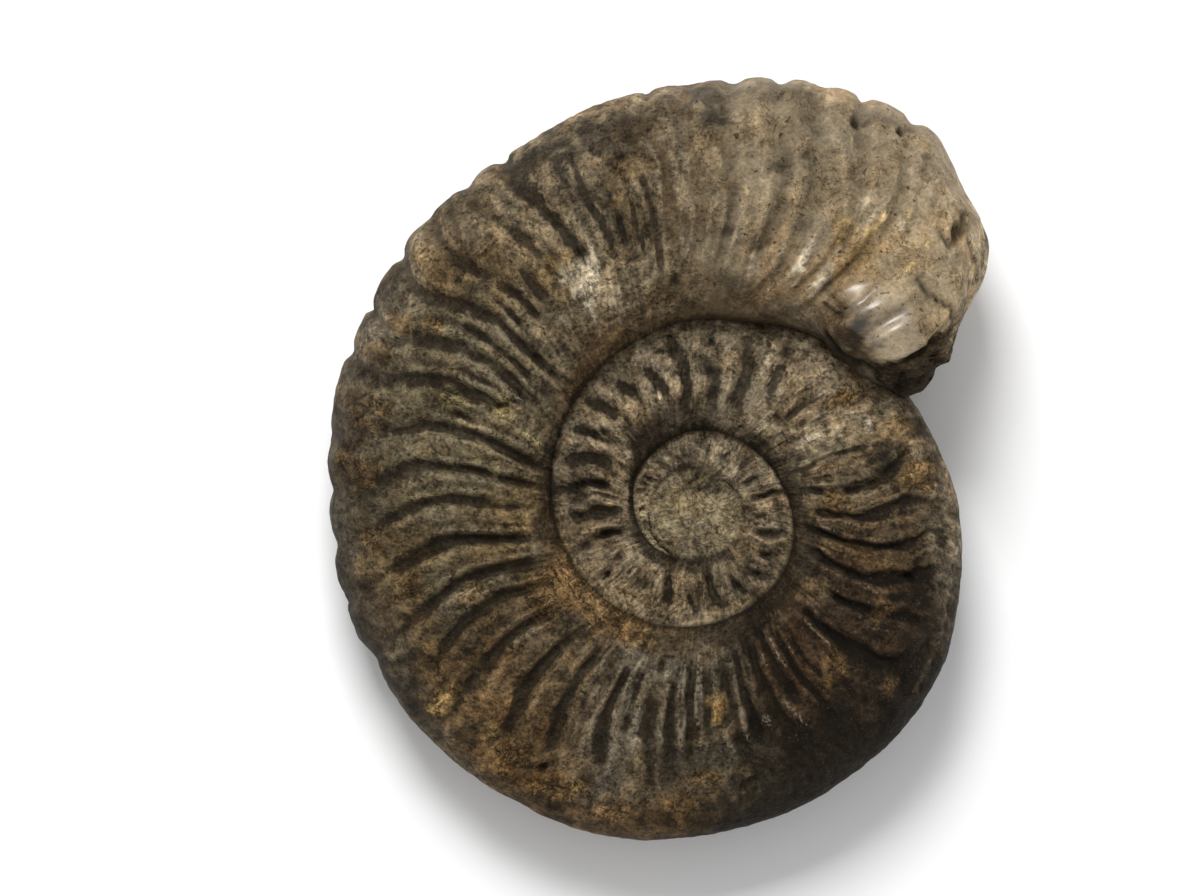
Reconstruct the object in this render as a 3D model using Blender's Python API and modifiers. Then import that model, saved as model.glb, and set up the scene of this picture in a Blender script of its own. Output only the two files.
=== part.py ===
"""An ammonite fossil: an evolute, closely ribbed shell that lies on its side.

The shell is worked out with the coil's axis along Z. It winds inwards anticlockwise, as seen
from above. A place on it is given by two parameters:

  turn   the angle round the coil in degrees, counted anticlockwise from +X and on through
         every whorl, from the broken mouth at 28 to the heart of the coil
  across the way over one side of the whorl, 0 on the inner seam, CREST_AT on the crest of
         the flank and 1 on the keel line, halfway down the outer edge

One side of the shell is made, mirrored and thinned to the facets that the ribs need. Then
the shell is leant until its lowest ribs lie on the ground, which has worn them flat.
"""
import math

import bmesh
import bpy
import numpy as np
from mathutils import Matrix

MM = 0.001

# The coil, in millimetres about its axis against the turn in degrees.
KEEL_RADIUS = ((28, 66.0), (35, 69.0), (42, 72.2), (46, 73.9), (50, 75.5), (54, 78.1), (57, 80.4),
               (63, 80.9), (75, 80.0), (90, 77.0), (105, 74.3), (120, 72.1), (135, 71.1),
               (150, 68.8), (165, 67.5), (180, 65.6), (195, 65.0), (210, 63.9), (225, 62.9),
               (240, 61.9), (255, 61.3), (270, 59.4), (300, 56.0), (318, 54.9), (330, 52.9),
               (345, 49.8), (360, 47.8), (388, 43.9), (420, 40.3), (480, 35.6), (540, 32.2),
               (600, 31.4), (660, 28.6), (720, 24.6), (765, 20.8), (810, 18.4), (855, 15.0),
               (900, 12.2), (930, 10.7), (964, 9.2))
SEAM_RADIUS = ((28, 42.7), (36, 39.8), (46, 38.8), (62, 37.0), (75, 35.0), (90, 34.2), (120, 31.0),
               (150, 28.1), (180, 25.4), (210, 23.6), (240, 22.0), (270, 20.9), (300, 20.0),
               (330, 19.3), (360, 17.5), (388, 15.9), (420, 15.0), (450, 14.4), (480, 13.0),
               (510, 12.1), (540, 10.8), (570, 10.1), (604, 9.2), (630, 8.9), (660, 8.9),
               (690, 9.2), (720, 9.0), (765, 7.8), (810, 7.6), (855, 7.8), (900, 8.3),
               (930, 8.7), (964, 9.2))
HALF_BREADTH = ((28, 19.6), (60, 19.0), (150, 16.0), (240, 13.4), (330, 11.3), (420, 9.5),
                (510, 8.0), (600, 6.7), (690, 5.6), (780, 4.7), (870, 3.9), (930, 3.5), (964, 3.4))
MOUTH_TURN = 28.0
HEART_TURN = 964.0
FULL_TURN = 360.0

# The whorl's section: two quarter superellipses that meet on the crest of the flank.
CREST_AT = 0.40
CREST_PLACE = 0.42
WALL_POWER = 2.7
EDGE_POWER = 2.35

# The broken mouth: how far its edge lies behind the seam's end, in degrees, against the share
# of the way out from the seam to the keel line. The grid's columns bend along with it.
MOUTH_EDGE = ((0.0, 0.0), (0.1, 8.5), (0.2, 9.0), (0.31, 9.0), (0.48, 11.0), (0.6, 12.5),
              (0.8, 16.0), (0.93, 18.5), (1.0, 14.0))
MOUTH_EDGE_END = 100.0
MOUTH_FACE_BULGE = 2.0
MOUTH_SWELLING = 1.6
MOUTH_SWELLING_TURN = 44.0
MOUTH_SWELLING_LENGTH = 9.0
MOUTH_SWELLING_PLACE = 0.26
MOUTH_SWELLING_WIDTH = 0.16

# Ribs: the number of furrows passed against the turn, and how they bend back at both ends.
RIB_COUNT = ((28, -3.0), (46.5, 0), (74, 5), (102, 10), (142, 16), (167, 19), (192, 22), (242, 27),
             (272, 32), (308, 38), (343, 41), (388, 45.5), (429, 49), (454, 51), (490, 55),
             (526, 58), (574, 61), (642, 66), (690, 69), (755, 75), (860, 84), (960, 93))
RIB_BEND_PLACE = 0.38
RIB_BEND_OUTWARD = 4.5
RIB_BEND_INWARD = 3.0
FURROW_DEPTH = 1.75
FURROW_WIDTH = 0.30
FURROW_DEPTH_MIN = 0.45
RIB_FADE_WALL = (0.03, 0.17)
SEAM_REACH = 0.05
SEAM_RUN_OUT = 8.0
HEART_RUN_OUT = 40.0
RIB_SHARE_AT_KEEL = 0.55

# The matrix that fills the heart of the coil.
HEART_CENTRE = (-1.1, -0.4)
HEART_RISE = 0.7
HEART_DOME = 0.35

# How the shell lies: the coil's axis, its height above the ground, and its lean.
COIL_AXIS = (6.14, -9.0)
COIL_HEIGHT = 16.4
LEAN = 3.94
LEAN_TOWARDS = 222.5
GROUND_SIZE = 200.0
STONE_COLOUR = (0.13, 0.10, 0.07, 1.0)
STONE_ROUGHNESS = 0.55

# The grids' steps, and the share of their faces that is kept.
STEPS_PER_TURN = 300
STEPS_ACROSS = 14
STEPS_ROUND_EDGE = 8
STEPS_DOWN_MOUTH = 8
STEPS_INTO_HEART = 5
KEPT_SHARE = 0.16
WELD_DISTANCE = 0.002 * MM
SMALLEST = 1e-6


def smooth(knots, x):
    """Cubic curve through the knots, with each knot's slope taken from its two neighbours."""
    places, values = np.array(knots, dtype=float).T
    slopes = np.gradient(values, places)
    x = np.clip(x, places[0], places[-1])
    left = np.clip(np.searchsorted(places, x, side="right") - 1, 0, len(places) - 2)
    span = places[left + 1] - places[left]
    s = (x - places[left]) / span
    return ((1 + 2 * s) * (1 - s) ** 2 * values[left] + s * (1 - s) ** 2 * span * slopes[left]
            + s * s * (3 - 2 * s) * values[left + 1] + s * s * (s - 1) * span * slopes[left + 1])


def ramp(low, high, x):
    """Smooth step from 0 at low to 1 at high."""
    s = np.clip((x - low) / (high - low), 0.0, 1.0)
    return s * s * (3 - 2 * s)


def keel_radius(turn):
    return smooth(KEEL_RADIUS, turn)


def seam_radius(turn):
    return smooth(SEAM_RADIUS, turn)


def crest_radius(turn):
    return seam_radius(turn) + CREST_PLACE * (keel_radius(turn) - seam_radius(turn))


def half_breadth(turn):
    return smooth(HALF_BREADTH, turn)


def edge_angle(turn, radius):
    """Where a radius beyond the crest lies on the outer quarter of the section, in radians."""
    crest = crest_radius(turn)
    share = np.clip((radius - crest) / np.maximum(keel_radius(turn) - crest, SMALLEST), 0.0, 1.0)
    return np.arcsin(share ** (EDGE_POWER / 2))


def seam_height(turn):
    """Height of the inner seam, which lies on the outer quarter of the whorl inside it."""
    inner = turn + FULL_TURN
    angle = np.where(inner < HEART_TURN, edge_angle(inner, seam_radius(turn)), 0.0)
    return half_breadth(inner) * np.cos(angle) ** (2 / EDGE_POWER)


def covered_from(turn):
    """The value of across at which the next whorl outside covers this one.

    On the last whorl it is the shoulder line, which ends where the mouth's seam starts.
    """
    turn = np.maximum(turn, MOUTH_TURN + FULL_TURN)
    outer = turn - FULL_TURN
    return CREST_AT + (1 - CREST_AT) * edge_angle(turn, seam_radius(outer)) / (math.pi / 2)


def place_across(across):
    """Share of the way out from the seam to the keel line, for a value of across."""
    inner = np.sin(np.clip(1 - across / CREST_AT, 0, 1) * math.pi / 2) ** (2 / WALL_POWER)
    outer = np.sin(np.clip((across - CREST_AT) / (1 - CREST_AT), 0, 1) * math.pi / 2)
    return CREST_PLACE * (1 - inner) + (1 - CREST_PLACE) * outer ** (2 / EDGE_POWER)


def seam_fade(turn, across):
    """0 on a seam and 1 away from it, so that both whorls meet on the same line."""
    inner = ramp(0.0, SEAM_REACH, across)
    outer = ramp(0.0, SEAM_REACH, np.abs(covered_from(turn) - across))
    covered = ramp(MOUTH_TURN + FULL_TURN - SEAM_RUN_OUT, MOUTH_TURN + FULL_TURN, turn)
    run_out = ramp(0.0, HEART_RUN_OUT, HEART_TURN - turn)
    return inner * run_out * (1 - covered * (1 - outer))


def rib_relief(turn, across):
    """Depth of the furrows, in millimetres below the whorl's full surface.

    A furrow is a narrow bell in the phase of the rib count. The furrows lean back inwards
    and outwards of the middle of the flank, fade on the wall, and shallow towards the keel.
    """
    place = place_across(across)
    outward = np.clip((place - RIB_BEND_PLACE) / (1 - RIB_BEND_PLACE), 0, 1)
    inward = np.clip((RIB_BEND_PLACE - place) / RIB_BEND_PLACE, 0, 1)
    bend = RIB_BEND_OUTWARD * outward ** 2 + RIB_BEND_INWARD * inward ** 2
    phase = smooth(RIB_COUNT, turn - bend)
    off_furrow = (phase - np.round(phase)) / FURROW_WIDTH
    bell = np.exp(-off_furrow ** 2)
    size = half_breadth(turn) / HALF_BREADTH[0][1]
    depth = FURROW_DEPTH_MIN + (FURROW_DEPTH - FURROW_DEPTH_MIN) * size
    share = ramp(*RIB_FADE_WALL, place) * (1 - (1 - RIB_SHARE_AT_KEEL) * outward ** 2)
    return depth * bell * share


def swelling(turn, across):
    """The smooth swelling on the inner flank just behind the mouth, in millimetres."""
    along = (turn - MOUTH_SWELLING_TURN) / MOUTH_SWELLING_LENGTH
    over = (place_across(across) - MOUTH_SWELLING_PLACE) / MOUTH_SWELLING_WIDTH
    return MOUTH_SWELLING * np.exp(-along ** 2 - over ** 2)


def flank(turn, across):
    """Points of one side of the shell, in millimetres about the coil's axis."""
    inner = np.clip(1 - across / CREST_AT, 0, 1) * math.pi / 2
    outer = np.clip((across - CREST_AT) / (1 - CREST_AT), 0, 1) * math.pi / 2
    seam, crest, keel = seam_radius(turn), crest_radius(turn), keel_radius(turn)
    breadth, low = half_breadth(turn), seam_height(turn)
    on_wall = across < CREST_AT
    radius = np.where(on_wall, crest - (crest - seam) * np.sin(inner) ** (2 / WALL_POWER),
                      crest + (keel - crest) * np.sin(outer) ** (2 / EDGE_POWER))
    height = np.where(on_wall, low + (breadth - low) * np.cos(inner) ** (2 / WALL_POWER),
                      breadth * np.cos(outer) ** (2 / EDGE_POWER))
    lift = (swelling(turn, across) - rib_relief(turn, across)) * seam_fade(turn, across)
    radius = radius + lift * (np.sin(outer) - np.sin(inner))
    height = height + lift * np.where(on_wall, np.cos(inner), np.cos(outer))
    angle = np.radians(turn)
    return np.stack([radius * np.cos(angle), radius * np.sin(angle), height], axis=-1)


def add_grid(mesh, columns, rows, surface):
    """Add a grid of columns by rows faces whose points are surface(column, row)."""
    made = bmesh.ops.create_grid(mesh, x_segments=columns, y_segments=rows, size=0.5)["verts"]
    column = np.array([vert.co.x + 0.5 for vert in made]) * columns
    row = np.array([vert.co.y + 0.5 for vert in made]) * rows
    for vert, point in zip(made, surface(np.round(column), np.round(row)) * MM):
        vert.co = point


def outer_whorl(column, row):
    """The last whorl, from its inner seam over the flank to the keel line."""
    turn = MOUTH_TURN + column * FULL_TURN / STEPS_PER_TURN
    shoulder = covered_from(MOUTH_TURN)
    on_flank = row <= STEPS_ACROSS
    beyond = (row - STEPS_ACROSS) / STEPS_ROUND_EDGE
    across = np.where(on_flank, shoulder * row / STEPS_ACROSS, shoulder + (1 - shoulder) * beyond)
    back = smooth(MOUTH_EDGE, place_across(across)) * (1 - ramp(MOUTH_TURN, MOUTH_EDGE_END, turn))
    return flank(turn + back, across)


def inner_whorls(column, row):
    """The whorls inside the last one, each from its inner seam to the seam that covers it."""
    turn = MOUTH_TURN + FULL_TURN * (1 + column / STEPS_PER_TURN)
    return flank(turn, covered_from(turn) * row / STEPS_ACROSS)


def mouth_face(column, row):
    """The broken face of the mouth: lines from the whorl's edge down to what lies below it.

    The inner lines end on the old whorl that the mouth rides over, and the others end on
    the middle plane, between the old whorl's keel line and the new one's.
    """
    top = outer_whorl(np.zeros_like(row), row)
    old_row = np.minimum(row + STEPS_ACROSS, STEPS_ACROSS + STEPS_ROUND_EDGE)
    foot = outer_whorl(np.full_like(row, STEPS_PER_TURN), old_row)
    along = np.clip((row - STEPS_ROUND_EDGE) / STEPS_ACROSS, 0, 1)[:, None]
    keel = outer_whorl(np.zeros(1), np.full(1, float(STEPS_ACROSS + STEPS_ROUND_EDGE)))
    foot = foot + along * (keel - foot)
    down = (column / STEPS_DOWN_MOUTH)[:, None]
    points = top + down * (foot - top)
    across = row[:, None] / (STEPS_ACROSS + STEPS_ROUND_EDGE)
    swell = np.sin(math.pi * across) * np.sin(math.pi * down) / 2 + np.sin(math.pi * along) * down
    outward = math.radians(MOUTH_TURN)
    return points + MOUTH_FACE_BULGE * swell * np.array([math.cos(outward), -math.sin(outward), 0])


def heart(column, row):
    """The low dome of matrix inside the last seam."""
    first = round((HEART_TURN - 2 * FULL_TURN - MOUTH_TURN) * STEPS_PER_TURN / FULL_TURN)
    rim = inner_whorls(column + first, np.zeros_like(row))
    share = (row / STEPS_INTO_HEART)[:, None]
    middle = np.array([*HEART_CENTRE, rim[:, 2].mean() + HEART_RISE])
    points = rim + share * (middle - rim)
    points[:, 2] += HEART_DOME * np.sin(math.pi * share[:, 0])
    return points


def half_shell():
    """One side of the shell, open on the middle plane, as a mesh."""
    mesh = bmesh.new()
    inner_steps = round((HEART_TURN - FULL_TURN - MOUTH_TURN) * STEPS_PER_TURN / FULL_TURN)
    add_grid(mesh, STEPS_PER_TURN, STEPS_ACROSS + STEPS_ROUND_EDGE, outer_whorl)
    add_grid(mesh, inner_steps, STEPS_ACROSS, inner_whorls)
    add_grid(mesh, STEPS_DOWN_MOUTH, STEPS_ACROSS + STEPS_ROUND_EDGE, mouth_face)
    add_grid(mesh, STEPS_PER_TURN, STEPS_INTO_HEART, heart)
    bmesh.ops.remove_doubles(mesh, verts=mesh.verts[:], dist=WELD_DISTANCE)
    bmesh.ops.recalc_face_normals(mesh, faces=mesh.faces[:])
    data = bpy.data.meshes.new("ammonite")
    mesh.to_mesh(data)
    mesh.free()
    return data


def stone_material():
    material = bpy.data.materials.new("fossil_stone")
    material.use_nodes = True
    shader = material.node_tree.nodes["Principled BSDF"]
    shader.inputs["Base Color"].default_value = STONE_COLOUR
    shader.inputs["Roughness"].default_value = STONE_ROUGHNESS
    return material


def collection(name):
    made = bpy.data.collections.new(name)
    bpy.context.scene.collection.children.link(made)
    return made


def ground_cutter(parent):
    """The block below the ground, which wears the resting crests flat."""
    mesh = bmesh.new()
    bmesh.ops.create_cube(mesh, size=GROUND_SIZE * MM)
    data = bpy.data.meshes.new("ground")
    mesh.to_mesh(data)
    mesh.free()
    cutter = bpy.data.objects.new("ground", data)
    cutter.location.z = -GROUND_SIZE * MM / 2
    cutter.hide_render = True
    cutter.display_type = "WIRE"
    parent.objects.link(cutter)
    return cutter


def ammonite(parent, ground):
    """The whole shell: both sides, thinned, laid on the ground and worn where it touches."""
    shell = bpy.data.objects.new("ammonite", half_shell())
    parent.objects.link(shell)
    shell.data.materials.append(stone_material())
    shell.data.shade_smooth()
    lean_axis = math.radians(LEAN_TOWARDS + 90.0)
    lean = Matrix.Rotation(math.radians(LEAN), 4, (math.cos(lean_axis), math.sin(lean_axis), 0.0))
    place = Matrix.Translation((COIL_AXIS[0] * MM, COIL_AXIS[1] * MM, COIL_HEIGHT * MM))
    shell.matrix_world = place @ lean

    other_side = shell.modifiers.new("other side", "MIRROR")
    other_side.use_axis = (False, False, True)
    other_side.merge_threshold = WELD_DISTANCE
    thinned = shell.modifiers.new("thinned", "DECIMATE")
    thinned.ratio = KEPT_SHARE
    worn = shell.modifiers.new("worn flat", "BOOLEAN")
    worn.operation = "DIFFERENCE"
    worn.object = ground
    return shell


def main():
    for old in list(bpy.data.objects):
        bpy.data.objects.remove(old)
    ground = ground_cutter(collection("cutters"))
    ammonite(collection("ammonite fossil"), ground)


main()
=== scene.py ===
"""The finish of a fossil ammonite that lies on its side, seen along the axis of its coil.

The shell is one skin, worked out with numpy in millimetres about the coil's axis and laid as
the solid lies. A place on it has a turn, the angle in degrees counted on through every whorl
from the broken mouth inwards, and a value of across, from 0 on the inner seam to 1 on the
keel line. Over that surface lie the furrows, the swellings, the broken places and the grain.
Each point also carries colours and masks, which the stone's material reads as attributes.
"""
import itertools
import math
from types import SimpleNamespace

import bpy
import numpy as np
from mathutils import Matrix, Vector


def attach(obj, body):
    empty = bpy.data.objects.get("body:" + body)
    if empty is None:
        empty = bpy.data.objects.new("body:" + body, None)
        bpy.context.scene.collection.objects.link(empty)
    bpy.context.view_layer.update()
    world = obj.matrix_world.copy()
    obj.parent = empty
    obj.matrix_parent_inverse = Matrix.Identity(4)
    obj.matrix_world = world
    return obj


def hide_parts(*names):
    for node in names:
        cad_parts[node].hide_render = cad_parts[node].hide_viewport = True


MM = 0.001

# ---------------------------------------------------------------- the coil, in millimetres
# (turn, mm): how far the keel line and the inner seam are from the axis, and half the breadth.
KEEL_RADIUS = ((28, 66), (35, 69), (42, 72.2), (46, 73.9), (50, 75.5), (54, 78.1), (57, 80.4), (63, 80.9),
               (75, 80), (90, 77), (105, 74.3), (120, 72.1), (135, 71.1), (150, 68.8), (165, 67.5),
               (180, 65.6), (195, 65), (210, 63.6), (225, 62.4), (240, 61.4), (255, 60.7), (270, 58.8),
               (300, 55.5), (318, 54.1), (330, 52.3), (345, 49.5), (360, 47.4), (388, 43.7), (420, 40.3),
               (480, 35.6), (540, 32.2), (600, 31.4), (660, 28.6), (720, 24.6), (765, 20.8), (810, 18.4),
               (855, 15), (900, 12.2), (930, 10.7), (964, 9.2))
SEAM_RADIUS = ((28, 42.7), (36, 39.8), (46, 38.8), (62, 37), (75, 35), (90, 34.2), (120, 31), (150, 28.1),
               (180, 25.4), (210, 23.6), (240, 22), (270, 20.9), (300, 20), (330, 19.3), (360, 17.5),
               (388, 15.9), (420, 15), (450, 14.4), (480, 13), (510, 12.1), (540, 10.8), (570, 10.1),
               (604, 9.2), (630, 8.9), (660, 8.9), (690, 9.2), (720, 9), (765, 7.8), (810, 7.6),
               (855, 7.8), (900, 8.3), (930, 8.7), (964, 9.2))
HALF_BREADTH = ((28, 19.6), (60, 19), (150, 16), (240, 13.4), (330, 11.3), (420, 9.5), (510, 8),
                (600, 6.7), (690, 5.6), (780, 4.7), (870, 3.9), (930, 3.5), (964, 3.4))
# The coil runs from the broken mouth, under itself from its second turn on, to the heart.
MOUTH_TURN = 28.0
FULL_TURN = 360.0
SECOND_TURN = MOUTH_TURN + FULL_TURN
HEART_TURN = 964.0
# The section's highest line: its value of across, and its share of the way from seam to keel.
# The powers round off the wall inside that line and the edge outside it.
CREST_AT = 0.40
CREST_PLACE = 0.42
WALL_POWER = 2.7
EDGE_POWER = 2.35
# How many degrees past MOUTH_TURN the mouth's edge lies, by share of the way from seam to keel.
# The columns bend with it, and no longer beyond MOUTH_EDGE_END.
MOUTH_EDGE = ((0, 0), (0.03, 9), (0.065, 14), (0.11, 12.6), (0.18, 9.8), (0.26, 8.6), (0.35, 8.3),
              (0.48, 9.6), (0.6, 10.6), (0.72, 12.8), (0.8, 15.4), (0.9, 18.4), (0.96, 18.2), (1, 17.5))
MOUTH_EDGE_END = 100.0
# The mouth's broken face: how far its middle swells out, how far its foot does, by share of the
# way from the old whorl's keel to this one's, both in mm, and the power that rounds it off.
MOUTH_FACE_BULGE = 1.0
MOUTH_OUTLINE = ((0, 0), (0.04, 1.4), (0.09, 2.2), (0.15, 2.3), (0.195, 2.5), (0.24, 3.8), (0.29, 4.1),
                 (0.37, 4), (0.44, 3.7), (0.6, 4.2), (0.7, 4.7), (0.82, 4.2), (0.93, 2.6), (1, 0))
MOUTH_POWER = 2.3
# The table of matrix in the heart, in mm: its middle, its rise, the place and height of the step
# across it, its lumps, and how high the seam round it lies, by turn.
HEART_CENTRE = (-1.1, -0.4)
HEART_RISE = 0.8
HEART_STEP_AT = 3.8
HEART_STEP = 0.3
HEART_LUMPS = 0.35
HEART_RIM = ((604, 3.4), (625, 4.4), (645, 5.6), (680, 5.6), (720, 5.3), (760, 4.8), (800, 4.5),
             (830, 4.2), (870, 3.9), (900, 3.7), (964, 3.4))
# How the coil lies: where its middle is, in mm, and how far and which way it leans, in degrees.
COIL_AXIS = (6.14, -9.0)
COIL_HEIGHT = 16.4
LEAN = 3.94
LEAN_TOWARDS = 222.5

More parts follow.
